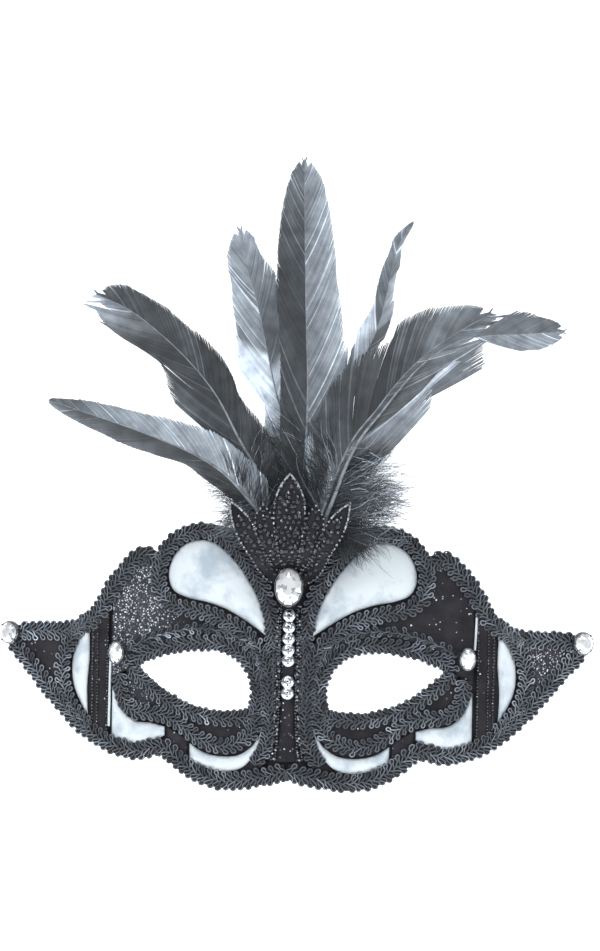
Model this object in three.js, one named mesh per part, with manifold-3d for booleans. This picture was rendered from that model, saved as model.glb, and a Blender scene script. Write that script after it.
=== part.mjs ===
// A Venetian masquerade half-mask: a moulded shell covered in satin, black velvet, padded pale panels,
// looped gimp braid, beads and rhinestones, with a plume of seven feathers behind a beaded applique.
//
// Millimetres. +X is the viewer's right, +Z is up, the front faces -Y and the wearer is on the +Y side.
// The origin is on the inside of the mask at the bridge of the nose, where the wearer's face holds it.
import * as THREE from "three";
import { mergeVertices } from "three/addons/utils/BufferGeometryUtils.js";
import Module from "manifold-3d";

const wasm = await Module();
wasm.setup();

// ---- Driving dimensions ----
const HALF_SPAN = 112; // nose ridge to the centre of a wing-tip stone
const FACE_BEND = 44; // how far the wing tips fall behind the nose ridge
const BEND_POWER = 1.7;
const NOSE_RISE = 7; // height of the nose ridge over the cheeks at the origin
const NOSE_SLOPE = 0.1; // extra ridge height for each millimetre further down
const NOSE_WIDTH = 12;
const UPRIGHT_BEND = 0.0012; // forehead and chin edges curl back by this times z squared
const GAP = 0.3; // clearance between touching pieces
const MOST_RUN_STEPS = 20; // straight steps in one run of an outline
const TRIM_GAP = 0.4; // clearance between runs of braid that meet

// Depths along the surface normal, measured forwards from the front of the shell.
const SHELL_THICK = 1.6;
const LINING_THICK = 0.8;
const LINING_BACK = SHELL_THICK + GAP + LINING_THICK;
const CLOTH = [GAP, GAP + 0.4];
const VELVET = [CLOTH[1] + GAP, CLOTH[1] + GAP + 0.9];
const PANEL = [CLOTH[1] + GAP, CLOTH[1] + GAP + 1.1];
const BRAID = [VELVET[1] + 0.4, VELVET[1] + 2.2];
const BEADS = [VELVET[1] + 0.4, VELVET[1] + 1.8];

const EDGE_BRAID_WIDTH = 7.6;
const BRAID_WIDTH = 6.6;
const BROW_BRAID_WIDTH = 3;
const SHELL_INSET = 1.2; // the braid's loops overhang the shell by this much
const EYE_MARGIN = 0.8; // the shell's eye hole is this much larger than the braid's
const TAPE_STEP = 8; // distance between the cross-sections of a braid

const STONE_CENTRE = { x: 0, z: 30.5, width: 10, height: 14, deep: 4.2 };
const STONE_TEMPLE = { x: 67.2, z: 3.7, width: 6, height: 8, deep: 2.8 };
const STONE_TIP = { x: 111, z: 9.8, width: 8, height: 8, deep: 3.2 };
const SETTING_WALL = 0.7;
const SETTING_FLOOR = 0.7;

const SEQUIN_RADIUS = 2.4;
const SEQUIN_THICK = 0.7;
const SEQUIN_HEIGHTS = [20, 15.6, 11.2, 6.9, 2.9, -5.3, -9.6];

const FEATHER_LAYER = 1.25; // one feather lies this far in front of the next
const FEATHER_LEAN = 0.0008; // the plume curls back by this times the height squared
const FEATHER_STATIONS = 14;
const QUILL_RADIUS = 0.9;
const VANE_THICK = 0.34;

const BINDING = { x: 1.75, bottom: 46, top: 55, width: 25, deep: 9.6 };
const FEATHER_FOOT = BINDING.bottom + 2;
const APPLIQUE_THICK = 1.5;
const APPLIQUE_LOW = BRAID[1] + 0.5; // depth of the applique's lower point
const APPLIQUE_RISE = { from: 34, to: 46 }; // heights between which it steps forward over the binding
const APPLIQUE_FRONT = 11.6; // how far the applique's upper part stands in front of the origin
const TAB = { x: 96, z: 1, width: 14, height: 12, thick: 1.5 };

const EXTRUDE_NEAR = -40; // every outline is cut through the layers between these two planes
const EXTRUDE_FAR = 90;

// ---- The shape of the face ----
// Depth of the shell's front at a point of the front view.
function depthAt(x, z) {
  const bend = FACE_BEND * (Math.abs(x) / HALF_SPAN) ** BEND_POWER;
  const nose = (NOSE_RISE - NOSE_SLOPE * z) * Math.exp(-((x / NOSE_WIDTH) ** 2));
  return bend + NOSE_RISE - nose + UPRIGHT_BEND * z * z - LINING_BACK;
}

// Unit normal of the shell's front, facing the viewer.
function normalAt(x, z) {
  const h = 0.01;
  const slopeX = (depthAt(x + h, z) - depthAt(x - h, z)) / (2 * h);
  const slopeZ = (depthAt(x, z + h) - depthAt(x, z - h)) / (2 * h);
  return new THREE.Vector3(slopeX, -1, slopeZ).normalize();
}

// The point that lies d in front of the shell, along the normal from (x, z).
function surfacePoint(x, z, d) {
  return new THREE.Vector3(x, depthAt(x, z), z).addScaledVector(normalAt(x, z), d);
}

// The point that lies d in front of the shell and shows at (x, z) in the front view.
function frontPoint(x, z, d) {
  let point = surfacePoint(x, z, d);
  const base = { x, z };
  for (let i = 0; i < 4; i++) {
    base.x += x - point.x;
    base.z += z - point.z;
    point = surfacePoint(base.x, base.z, d);
  }
  return point;
}

// ---- Solids ----
// A closed geometry as a solid with its faces pointing out.
function solidOf(geometry) {
  const bare = geometry.clone();
  bare.deleteAttribute("normal");
  bare.deleteAttribute("uv");
  const merged = mergeVertices(bare, 1e-4);
  const vertProperties = new Float32Array(merged.attributes.position.array);
  const triVerts = new Uint32Array(merged.index.array);
  const solid = new wasm.Manifold(new wasm.Mesh({ numProp: 3, vertProperties, triVerts }));
  if (solid.volume() > 0) return solid;
  return new wasm.Manifold(new wasm.Mesh({ numProp: 3, vertProperties, triVerts: triVerts.reverse() }));
}

function geometryOf(solid) {
  const mesh = solid.getMesh();
  const positions = new Float32Array(mesh.numVert * 3);
  for (let i = 0; i < mesh.numVert; i++) {
    positions.set(mesh.vertProperties.subarray(i * mesh.numProp, i * mesh.numProp + 3), i * 3);
  }
  const geometry = new THREE.BufferGeometry();
  geometry.setAttribute("position", new THREE.BufferAttribute(positions, 3));
  geometry.setIndex(new THREE.BufferAttribute(new Uint32Array(mesh.triVerts), 1));
  geometry.computeVertexNormals();
  return geometry;
}

// The largest body of a solid: what is left of a piece after its neighbours are cut away.
function largest(solid) {
  const bodies = solid.decompose();
  return bodies.reduce((best, body) => (body.volume() > best.volume() ? body : best));
}

// A closed mesh from rings of points: side faces between the rings, and a fan over each end.
function loft(rings) {
  const count = rings[0].length;
  const positions = rings.flat().flatMap((p) => [p.x, p.y, p.z]);
  const index = [];
  for (let i = 0; i + 1 < rings.length; i++) {
    for (let j = 0; j < count; j++) {
      const a = i * count + j;
      const b = i * count + ((j + 1) % count);
      index.push(a, b, b + count, a, b + count, a + count);
    }
  }
  const last = (rings.length - 1) * count;
  for (let j = 1; j + 1 < count; j++) {
    index.push(0, j + 1, j, last, last + j, last + j + 1);
  }
  const geometry = new THREE.BufferGeometry();
  geometry.setAttribute("position", new THREE.Float32BufferAttribute(positions, 3));
  geometry.setIndex(index);
  return solidOf(geometry);
}

// ---- Layers of the mask ----
const HALF_GRID = [5, 10, 15, 21, 30, 42, 56, 72, 90, 107, 124];
const GRID_X = [...HALF_GRID.map((x) => -x).reverse(), 0, ...HALF_GRID];
const GRID_Z = [-60, -48, -36, -24, -12, 0, 12, 24, 36, 48, 60, 78];

// A sheet that covers the whole front view between two depths. Each is a number, the depth along the
// normal, or a function that gives the point over (x, z).
function sheet(rear, front) {
  const level = (depth, x, z) => (typeof depth === "function" ? depth(x, z) : surfacePoint(x, z, depth));
  const columns = GRID_X.length;
  const rows = GRID_Z.length;
  const positions = [];
  for (const depth of [rear, front]) {
    for (const z of GRID_Z) {
      for (const x of GRID_X) positions.push(...level(depth, x, z));
    }
  }
  const at = (side, row, column) => side * rows * columns + row * columns + column;
  const index = [];
  const quad = (a, b, c, d, flip) => {
    if (flip) index.push(a, b, d, b, c, d);
    else index.push(a, b, c, a, c, d);
  };
  for (let r = 0; r + 1 < rows; r++) {
    for (let c = 0; c + 1 < columns; c++) {
      const left = GRID_X[c] < 0;
      quad(at(1, r, c), at(1, r, c + 1), at(1, r + 1, c + 1), at(1, r + 1, c), left);
      quad(at(0, r, c + 1), at(0, r, c), at(0, r + 1, c), at(0, r + 1, c + 1), left);
    }
  }
  for (let c = 0; c + 1 < columns; c++) {
    quad(at(0, 0, c), at(0, 0, c + 1), at(1, 0, c + 1), at(1, 0, c));
    quad(at(1, rows - 1, c), at(1, rows - 1, c + 1), at(0, rows - 1, c + 1), at(0, rows - 1, c));
  }
  for (let r = 0; r + 1 < rows; r++) {
    quad(at(1, r, 0), at(1, r + 1, 0), at(0, r + 1, 0), at(0, r, 0));
    quad(at(0, r, columns - 1), at(0, r + 1, columns - 1), at(1, r + 1, columns - 1), at(1, r, columns - 1));
  }
  const geometry = new THREE.BufferGeometry();
  geometry.setAttribute("position", new THREE.Float32BufferAttribute(positions, 3));
  geometry.setIndex(index);
  return solidOf(geometry);
}

// ---- Outlines in the front view ----
// Points of a closed outline. Each run is a smooth curve through its points, and runs meet at corners.
function outline(...runs) {
  const points = [];
  for (const run of runs) {
    const curve = new THREE.SplineCurve(run.map(([x, z]) => new THREE.Vector2(x, z)));
    const pieces = run.length === 2 ? 1 : Math.min(2 * (run.length - 1), MOST_RUN_STEPS);
    points.push(...curve.getPoints(pieces).slice(1));
  }
  return points;
}

const flipped = (run) => run.map(([x, z]) => [-x, z]).reverse();

// The outline moved outwards by a distance, or inwards by a negative one, with round outside corners.
function grown(points, distance) {
  const clockwise = THREE.ShapeUtils.isClockWise(points);
  const result = [];
  const count = points.length;
  for (let i = 0; i < count; i++) {
    const before = points[(i + count - 1) % count];
    const here = points[i];
    const after = points[(i + 1) % count];
    const into = here.clone().sub(before).normalize();
    const out = after.clone().sub(here).normalize();
    const side = clockwise ? -1 : 1;
    const normalIn = new THREE.Vector2(into.y, -into.x).multiplyScalar(side);
    const normalOut = new THREE.Vector2(out.y, -out.x).multiplyScalar(side);
    const turn = (into.x * out.y - into.y * out.x) * side * Math.sign(distance);
    const steps = turn > 0.5 ? 3 : 0;
    if (steps) {
      for (let k = 0; k <= steps; k++) {
        const normal = normalIn.clone().lerp(normalOut, k / steps).normalize();
        result.push(here.clone().addScaledVector(normal, distance));
      }
    } else {
      const normal = normalIn.clone().add(normalOut).normalize();
      const stretch = 1 / Math.max(0.6, normal.dot(normalOut));
      result.push(here.clone().addScaledVector(normal, distance * stretch));
    }
  }
  return result;
}

// A prism with this outline that runs through every layer.
function prism(points) {
  const geometry = new THREE.ExtrudeGeometry(new THREE.Shape(points), {
    depth: EXTRUDE_FAR - EXTRUDE_NEAR,
    bevelEnabled: false,
  });
  geometry.rotateX(Math.PI / 2);
  geometry.translate(0, EXTRUDE_FAR, 0);
  return solidOf(geometry);
}

// A run of trim lying on the mask: a flat section carried along a curve of the front view.
function tape(points, width, [rear, front]) {
  const curve = new THREE.CatmullRomCurve3(points.map(([x, z]) => new THREE.Vector3(x, 0, z)), false, "centripetal");
  const steps = Math.max(2, Math.round(curve.getLength() / TAPE_STEP));
  const rings = [];
  for (let i = 0; i <= steps; i++) {
    const p = curve.getPointAt(i / steps);
    const along = curve.getTangentAt(i / steps);
    const x = (along.z * width) / 2;
    const z = (-along.x * width) / 2;
    rings.push([
      frontPoint(p.x - x, p.z - z, rear),
      frontPoint(p.x + x, p.z + z, rear),
      frontPoint(p.x + x, p.z + z, front),
      frontPoint(p.x - x, p.z - z, front),
    ]);
  }
  return loft(rings);
}

// The tape and its own clearance space, which later pieces leave free.
function trim(points, width, [rear, front] = BRAID) {
  return {
    solid: tape(points, width, [rear, front]),
    space: tape(points, width + 2 * TRIM_GAP, [rear - TRIM_GAP, front + TRIM_GAP]),
  };
}

// ---- Outlines of the right half ----
const TOP_RUN = [[0, 52], [12, 52.4], [22, 53.6], [35.7, 55.4], [45, 52.5], [50.5, 47.6], [52, 43.8]];
const SIDE_RUN = [
  [52, 43.8], [57.7, 45.4], [62, 43], [66.3, 39], [70.5, 34.5], [74, 29.3], [77, 23.5], [81.5, 18.2],
  [86.5, 15.5], [92, 14.9], [100.5, 14.6], [109, 13.8], [114, 10.5], [113.8, 5.5], [108.7, -0.6],
  [97.5, -14], [85.9, -26], [75.3, -33.4], [66, -37], [58, -37.6], [50, -35.3],
];
const CHIN_RUN = [[50, -35.3], [42.5, -42.1], [33, -46.6], [22.8, -48.1], [11, -46.3], [0, -43]];
const OUTER = outline(
  TOP_RUN, SIDE_RUN, CHIN_RUN, flipped(CHIN_RUN), flipped(SIDE_RUN), flipped(TOP_RUN),
);

const EYE = outline(
  [[58.5, -1.3], [51, 2], [43.5, 4], [36, 5.1], [29, 5], [22.5, 3], [17.8, -1.2], [15.2, -7], [15.2, -12], [16, -16]],
  [[16, -16], [22, -16.7], [28, -16.9], [34.5, -15.8], [41, -13.6], [48, -9.8], [54, -5.2], [58.5, -1.3]],
);
const EYE_LEFT = EYE.map((p) => new THREE.Vector2(-p.x, p.y)).reverse();

const VELVET_OUTLINES = {
  brow: [
    [[10.5, 4.5], [13.5, 9.8], [19, 14.8], [27, 18.2], [38, 20.6], [47, 23.6], [51.5, 29]],
    [[51.5, 29], [53.6, 38.6], [58, 41], [63.5, 36.4], [67.6, 31], [69.8, 27]],
    [[69.8, 27], [69.8, -6.5]],
    [[69.8, -6.5], [64.5, -3.2], [60, 1.4]],
    [[60, 1.4], [52, 4.9], [43.5, 7], [36, 8.2], [28, 7.9], [20.5, 5.4], [14.6, 0.2]],
    [[14.6, 0.2], [10.5, 4.5]],
  ],
  wing: [
    [[84.5, 11.9], [92, 12.6], [101, 12.2], [110.6, 11.6]],
    [[110.6, 11.6], [112, 7], [106.8, 0.4], [95.5, -13.2], [84.2, -24.8], [81, -27.4]],
    [[81, -27.4], [87, -20.5], [90.4, -11], [90.8, -2.5], [88.8, 5.5], [84.5, 11.9]],
  ],
  undereye: [
    [[11.6, -18.4], [20, -20.3], [28, -20.6], [36, -19.4], [43, -17], [50, -13], [57, -7.8], [62.6, -3.6]],
    [[62.6, -3.6], [67.6, -7.6], [66.2, -13.5], [62.5, -18.8], [56, -20], [49, -20.6], [42.5, -24.2]],
    [[42.5, -24.2], [35, -28.6], [26, -31], [18.5, -29.6], [14, -25.6], [11.6, -18.4]],
  ],
};

const PANEL_OUTLINES = {
  forehead: [
    [[8.2, 11.4], [9.8, 18.6], [12.6, 26], [16.4, 32.8], [20.8, 38.8], [25.6, 43.8], [31, 47.2], [37.6, 47.6],
      [43.4, 44.6], [47, 39], [47.7, 33], [45.6, 28.2], [40, 25.6], [32, 24], [24.4, 21.4], [16.6, 17], [8.2, 11.4]],
  ],
  temple: [
    [[79.4, 15], [82.6, 10], [85, 4.5], [86, -2], [85.4, -9], [82.8, -15.5], [79.4, -21.4]],
    [[79.4, -21.4], [79.8, -10], [79, 2], [79.4, 15]],
  ],
  cheek: [
    [[69.6, -9.6], [69.6, -29.8]],
    [[69.6, -29.8], [64, -31.2], [57.5, -31.4], [51.5, -29.6], [48.4, -27.6]],
    [[48.4, -27.6], [48.4, -24.4]],
    [[48.4, -24.4], [54, -23], [60, -22.6], [65.4, -18.6], [69.6, -9.6]],
  ],
  undereye: [
    [[9.8, -24.6], [13.6, -30.4], [19, -34.2], [26, -35], [32.6, -33.8], [38.4, -30.4]],
    [[38.4, -30.4], [38.4, -37.4]],
    [[38.4, -37.4], [32, -39.6], [24, -40.8], [17.4, -38.8], [12.6, -33], [9.8, -24.6]],
  ],
};
const CHEEK_TAB_OUTLINE = [
  [[39.6, -28.6], [47.2, -24.4]],
  [[47.2, -24.4], [47.2, -33.4]],
  [[47.2, -33.4], [39.6, -38.6]],
  [[39.6, -38.6], [39.6, -28.6]],
];
const NOSE_STRIP = [
  [[2.6, 24], [2.6, -20], [4, -36]],
  [[4, -36], [-4, -36]],
  [[-4, -36], [-2.6, -20], [-2.6, 24]],
  [[-2.6, 24], [2.6, 24]],
];
const APPLIQUE_HALF = [
  [[0, 30], [6, 32], [10.4, 36.4], [14, 41.4], [17.8, 46.8], [20.8, 52.4], [22.4, 58], [23, 63.4]],
  [[23, 63.4], [19, 60.6], [15.2, 56.6], [12.6, 51.2]],
  [[12.6, 51.2], [12.9, 57.6], [10, 62.2]],
  [[10, 62.2], [7.5, 59.4], [6, 55.4]],
  [[6, 55.4], [5.2, 65.4], [0, 74]],
];

// ---- Centrelines of the braid, right half ----
const EDGE_UPPER = [
  [51.8, 39.2], [57.4, 41.7], [60.8, 40], [64, 36.6], [67.5, 32.3], [70.7, 27.6], [73.8, 21.6], [79, 15.4],
  [85.6, 12], [92, 11.2], [100, 10.9], [106, 9.8], [110, 8.2],
];
const EDGE_LOWER = [
  [110, 9.6], [108.6, 5], [105.8, 1.6], [94.7, -11.8], [83.4, -23.3], [73.6, -30.1], [65.4, -33.3], [58, -34],
  [50.6, -32], [46.2, -34], [40.4, -38.7], [32, -43], [22.8, -44.4], [11.5, -42.6], [0.2, -39.5],
];
const FOREHEAD_LOOP = [
  [6.9, 16], [7.4, 20.4], [9.8, 27.8], [13.6, 34.8], [18.2, 41], [23.4, 46.4], [29.4, 50.4], [37, 51.4],
  [43.8, 48.8], [49.2, 43.2], [51.6, 35.4], [50.6, 27.6], [45.2, 22.8], [37, 20.8], [29.5, 18.9], [22.5, 16],
  [16.4, 12], [11.4, 6.8], [8.4, 0], [7.4, -8], [7.0, -16], [6.8, -24], [8.4, -31], [12.2, -37.4],
];
const UNDEREYE_LOOP = [
  [12.4, -20], [14.6, -25.6], [19.4, -29.4], [26, -30.9], [32.4, -29.4], [38, -26.2], [43.5, -22.4], [49, -19.8],
  [55, -19.2], [60.4, -18.6], [64.4, -15], [66.2, -10], [66.6, -4.6],
];
const TEMPLE_LOOP = [
  [79.2, 17], [85.4, 10], [88.8, 3.4], [90, -3.2], [89.2, -10.4], [86.2, -17], [82, -22.2], [79.4, -24.8],
];
const BROW_ROW = [[30, 13.6], [35, 14], [41, 13.6], [47, 12.3], [53, 10.4], [58.6, 8], [62, 5.8]];
const TEMPLE_BAND = [[74.6, 19], [74.6, 8], [74.6, -8], [74.6, -28]];
const TEMPLE_BAND_WIDTH = 6.4;
const NOSE_BEAD_LINE = [[3.9, 23], [3.9, 8], [3.9, -10], [4, -22], [5, -34]];
const NOSE_BEAD_WIDTH = 2;

// ---- Colours ----
function finish(color, roughness, metalness = 0) {
  return new THREE.MeshStandardMaterial({ color, roughness, metalness });
}
const SHELL = finish(0x26262a, 0.7);
const FELT = finish(0x1c1b1f, 0.95);
const SATIN = finish(0xd8e2e8, 0.4);
const BLACK_VELVET = finish(0x2d2b30, 0.95);
const GIMP = finish(0x464c58, 0.55);
const BEADED = finish(0x1d1e24, 0.25);
const RHINESTONE = finish(0xf2f5f8, 0.05);
const SETTING = finish(0x7d8188, 0.3, 0.9);
const DARK_FEATHER = finish(0x4a515e, 0.6);
const LIGHT_FEATHER = finish(0x8f9dab, 0.6);

const mask = new THREE.Group();

function add(name, solid, material) {
  const mesh = new THREE.Mesh(geometryOf(solid), material);
  mesh.name = name;
  mask.add(mesh);
}

// A right-hand piece and its mirror image on the left.
function addPair(name, solid, material) {
  add(name + "_right", solid, material);
  add(name + "_left", solid.mirror([1, 0, 0]), material);
}

// ---- Shell, lining and cloth ----
function addBody() {
  const eyes = (margin) => prism(grown(EYE, margin)).add(prism(grown(EYE_LEFT, margin)));
  const cut = (inset, margin, rear, front) =>
    prism(grown(OUTER, -inset)).intersect(sheet(rear, front)).subtract(eyes(margin));
  add("mask_shell", cut(SHELL_INSET, EYE_MARGIN, -SHELL_THICK, 0), SHELL);
  add("lining", cut(SHELL_INSET + 1, EYE_MARGIN + 1, -LINING_BACK, -SHELL_THICK - GAP), FELT);
  add("base_cloth", cut(SHELL_INSET + 0.3, EYE_MARGIN + 0.3, ...CLOTH), BLACK_VELVET);
}

// ---- Velvet, padded panels ----
function addCoverings() {
  const velvet = sheet(...VELVET);
  const panel = sheet(...PANEL);
  for (const [name, runs] of Object.entries(PANEL_OUTLINES)) {
    addPair(name + "_panel", prism(outline(...runs)).intersect(panel), SATIN);
  }
  for (const [name, runs] of Object.entries(VELVET_OUTLINES)) {
    addPair(name + "_velvet", prism(outline(...runs)).intersect(velvet), BLACK_VELVET);
  }
  addPair("cheek_tab", prism(outline(...CHEEK_TAB_OUTLINE)).intersect(velvet), BLACK_VELVET);
  add("nose_velvet", prism(outline(...NOSE_STRIP)).intersect(velvet), BLACK_VELVET);
}

// ---- Braid, bands and bead trims ----
// Each run is cut short where it meets the runs laid before it.
function addTrims() {
  const laid = [];
  const rightHalf = prism(outline([[GAP / 2, -60], [130, -60]], [[130, -60], [130, 80]], [[130, 80], [GAP / 2, 80]],
    [[GAP / 2, 80], [GAP / 2, -60]]));
  const lay = (name, { solid, space }, material) => {
    const free = laid.reduce((left, other) => left.subtract(other), solid.intersect(rightHalf));
    addPair(name, largest(free), material);
    laid.push(space);
  };
  const join = (a, b) => ({ solid: a.solid.add(b.solid), space: a.space.add(b.space) });
  const eyeRing = {
    solid: prism(grown(EYE, BRAID_WIDTH)).subtract(prism(EYE)).intersect(sheet(...BRAID)),
    space: prism(grown(EYE, BRAID_WIDTH + TRIM_GAP)).intersect(sheet(BRAID[0] - TRIM_GAP, BRAID[1] + TRIM_GAP)),
  };
  lay("edge_braid", join(trim(EDGE_UPPER, EDGE_BRAID_WIDTH), trim(EDGE_LOWER, EDGE_BRAID_WIDTH)), GIMP);
  lay("eye_braid", eyeRing, GIMP);
  lay("nose_bead_trim", trim(NOSE_BEAD_LINE, NOSE_BEAD_WIDTH, BEADS), BEADED);
  lay("forehead_braid", trim(FOREHEAD_LOOP, BRAID_WIDTH), GIMP);
  lay("undereye_braid", trim(UNDEREYE_LOOP, BRAID_WIDTH), GIMP);
  lay("brow_braid", trim(BROW_ROW, BROW_BRAID_WIDTH), GIMP);
  lay("temple_band", trim(TEMPLE_BAND, TEMPLE_BAND_WIDTH, BEADS), BEADED);
  lay("temple_braid", trim(TEMPLE_LOOP, BRAID_WIDTH), GIMP);
}

// ---- Sequins down the nose ----
// Overlapping discs on one sewing thread.
function addSequins() {
  const rear = BEADS[0] + 0.1;
  const first = SEQUIN_HEIGHTS[0];
  const end = SEQUIN_HEIGHTS[SEQUIN_HEIGHTS.length - 1];
  let string = tape([[0, first], [0, (first + end) / 2], [0, end]], 0.8, [rear, rear + 0.5]);
  for (const z of SEQUIN_HEIGHTS) {
    const disc = new THREE.CylinderGeometry(SEQUIN_RADIUS, SEQUIN_RADIUS, SEQUIN_THICK, 12);
    disc.translate(0, surfacePoint(0, z, rear).y - SEQUIN_THICK / 2, z);
    string = string.add(solidOf(disc));
  }
  add("nose_sequins", string, BEADED);
}

// ---- Applique ----
// The applique lies on the braid at its lower point and steps forward over the plume's binding.
function appliquePoint(x, z, forward) {
  const low = surfacePoint(x, z, APPLIQUE_LOW + forward);
  const high = new THREE.Vector3(x, 0.004 * x * x - APPLIQUE_FRONT - forward, z);
  return low.lerp(high, THREE.MathUtils.smoothstep(z, APPLIQUE_RISE.from, APPLIQUE_RISE.to));
}

function addApplique() {
  const runs = [...APPLIQUE_HALF, ...APPLIQUE_HALF.map(flipped).reverse()];
  const layer = sheet((x, z) => appliquePoint(x, z, 0), (x, z) => appliquePoint(x, z, APPLIQUE_THICK));
  add("applique", prism(outline(...runs)).intersect(layer), BEADED);
}

// ---- Rhinestones in cup settings ----
// A solid of revolution about the surface normal, stretched to an oval.
function turned(profile, stone, depth) {
  const points = profile.map(([radius, height]) => new THREE.Vector2(radius, height));
  const geometry = new THREE.LatheGeometry(points, 12);
  geometry.scale(stone.width / stone.height, 1, 1);
  const normal = normalAt(stone.x, stone.z);
  const side = new THREE.Vector3(0, 0, 1).cross(normal).negate().normalize();
  const up = normal.clone().cross(side).normalize();
  const centre = frontPoint(stone.x, stone.z, depth);
  const place = new THREE.Matrix4().makeBasis(side, normal, up).setPosition(centre);
  return solidOf(geometry.applyMatrix4(place));
}

// stem is how far the cup's foot reaches back to what it is glued to.
function stoneSolids(stone, depth, stem) {
  const radius = stone.height / 2;
  const rim = radius + GAP + SETTING_WALL;
  const wall = SETTING_FLOOR + 0.45 * stone.deep;
  const base = SETTING_FLOOR + GAP;
  const setting = turned(
    [[0, -stem], [0.5 * radius, -stem], [0.5 * radius, 0], [rim, 0], [rim, wall], [rim - SETTING_WALL, wall],
      [rim - SETTING_WALL, SETTING_FLOOR], [0, SETTING_FLOOR]],
    stone, depth,
  );
  const gem = turned(
    [[0, base], [radius * 0.6, base], [radius, base + 0.35 * stone.deep], [radius * 0.97, base + 0.45 * stone.deep],
      [radius * 0.55, base + stone.deep * 0.95], [0, base + stone.deep]],
    stone, depth,
  );
  return { setting, gem };
}

function addStones() {
  const centre = stoneSolids(STONE_CENTRE, APPLIQUE_LOW + APPLIQUE_THICK + GAP + 2.6, 2.4);
  add("centre_setting", centre.setting, SETTING);
  add("centre_stone", centre.gem, RHINESTONE);
  for (const [name, stone] of [["temple", STONE_TEMPLE], ["tip", STONE_TIP]]) {
    const { setting, gem } = stoneSolids(stone, BRAID[1] + GAP + 0.3, 0.3);
    addPair(name + "_setting", setting, SETTING);
    addPair(name + "_stone", gem, RHINESTONE);
  }
}

// ---- Plume ----
// Shaft points run from the foot in the binding to the tip. left and right are the vane widths, bare is the
// share of the shaft without vanes, and blunt is how full the vane stays towards its tip.
const FEATHERS = {
  inner_left: {
    layer: 0, left: 10.4, right: 10.2, bare: 0.2, blunt: 5, material: LIGHT_FEATHER,
    shaft: [[-1.6, FEATHER_FOOT], [-1.2, 68], [-1.6, 87.6], [-6.2, 102.6], [-11.1, 122.8], [-14.1, 136.1],
      [-18, 149.2], [-22.5, 168]],
  },
  thin_right: {
    layer: 1, left: 6.6, right: 3.8, bare: 0.22, blunt: 1.6, material: LIGHT_FEATHER,
    shaft: [[5.6, FEATHER_FOOT], [8, 64], [12.8, 86], [18, 101.6], [24.3, 114.6], [32, 131.6], [35.8, 149],
      [39, 162.6], [44.5, 171.7]],
  },
  upper_left: {
    layer: 2, left: 12.6, right: 8.6, bare: 0.2, blunt: 6, material: DARK_FEATHER,
    shaft: [[-4.6, FEATHER_FOOT], [-8.4, 62], [-13.6, 75], [-20.3, 86.6], [-30, 104], [-42, 118], [-54, 128.6],
      [-64, 135.8], [-77, 141.6]],
  },
  centre_tall: {
    layer: 3, left: 11.4, right: 13.6, bare: 0.16, blunt: 4.2, material: DARK_FEATHER,
    shaft: [[2.4, FEATHER_FOOT], [4, 62], [5.4, 88], [5.4, 110], [4.5, 128], [3.5, 150], [1.8, 195]],
  },
  low_left: {
    layer: 4, left: 9.6, right: 9, bare: 0.12, blunt: 1.9, material: DARK_FEATHER,
    shaft: [[-7.6, FEATHER_FOOT], [-10.8, 56], [-16.7, 64.4], [-25.7, 73.6], [-37.3, 80.8], [-58, 89],
      [-76, 95], [-94, 100.5]],
  },
  big_right: {
    layer: 5, left: 14, right: 21, bare: 0.1, blunt: 5, material: DARK_FEATHER,
    shaft: [[8.6, FEATHER_FOOT], [11, 56.6], [14.1, 65], [19.2, 79], [24.2, 89], [32, 99], [38.1, 107.4],
      [44.6, 115], [52, 121.8], [60, 127.6], [75.4, 136.8]],
  },
  far_right: {
    layer: 6, left: 7.4, right: 6.8, bare: 0.66, blunt: 2.4, material: DARK_FEATHER,
    shaft: [[11.6, FEATHER_FOOT], [13.4, 56.6], [16.4, 65], [21.4, 78.6], [26.6, 88.6], [34, 98.2], [40.4, 106.6],
      [47, 114.4], [54.6, 121], [64, 126.2], [74, 128], [86.4, 128.8], [103.4, 130]],
  },
};

const layerDepth = (layer) => {
  const back = surfacePoint(0, BINDING.top, BRAID[1] + GAP).y - QUILL_RADIUS - GAP - 0.5;
  return back - layer * FEATHER_LAYER;
};

function feather(spec, extra = 0) {
  const curve = new THREE.CatmullRomCurve3(spec.shaft.map(([x, z]) => new THREE.Vector3(x, 0, z)), false, "centripetal");
  const rings = [];
  for (let i = 0; i <= FEATHER_STATIONS; i++) {
    const t = Math.min(i / FEATHER_STATIONS, 0.995);
    const p = curve.getPointAt(t);
    const along = curve.getTangentAt(t);
    const s = Math.max(0, (t - spec.bare) / (1 - spec.bare));
    const fullness = Math.min(1, s / 0.22) ** 0.8 * (1 - s ** spec.blunt) ** 0.6;
    const shaftRadius = QUILL_RADIUS * (1 - 0.75 * Math.min(1, t / 0.6)) * (t > 0.6 ? 0.8 : 1) + extra;
    const edge = Math.min(VANE_THICK / 2, shaftRadius) + extra;
    const lean = FEATHER_LEAN * (p.z - BINDING.top) ** 2 * (p.z > BINDING.top ? 1 : 0);
    const y = layerDepth(spec.layer) + lean;
    const left = Math.max(spec.left * fullness, shaftRadius) + extra;
    const right = Math.max(spec.right * fullness, shaftRadius) + extra;
    const at = (side, back) => new THREE.Vector3(p.x + along.z * side, y + back, p.z - along.x * side);
    rings.push([
      at(-left, edge), at(0, shaftRadius), at(right, edge),
      at(right, -edge), at(0, -shaftRadius), at(-left, -edge),
    ]);
  }
  return loft(rings);
}

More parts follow.
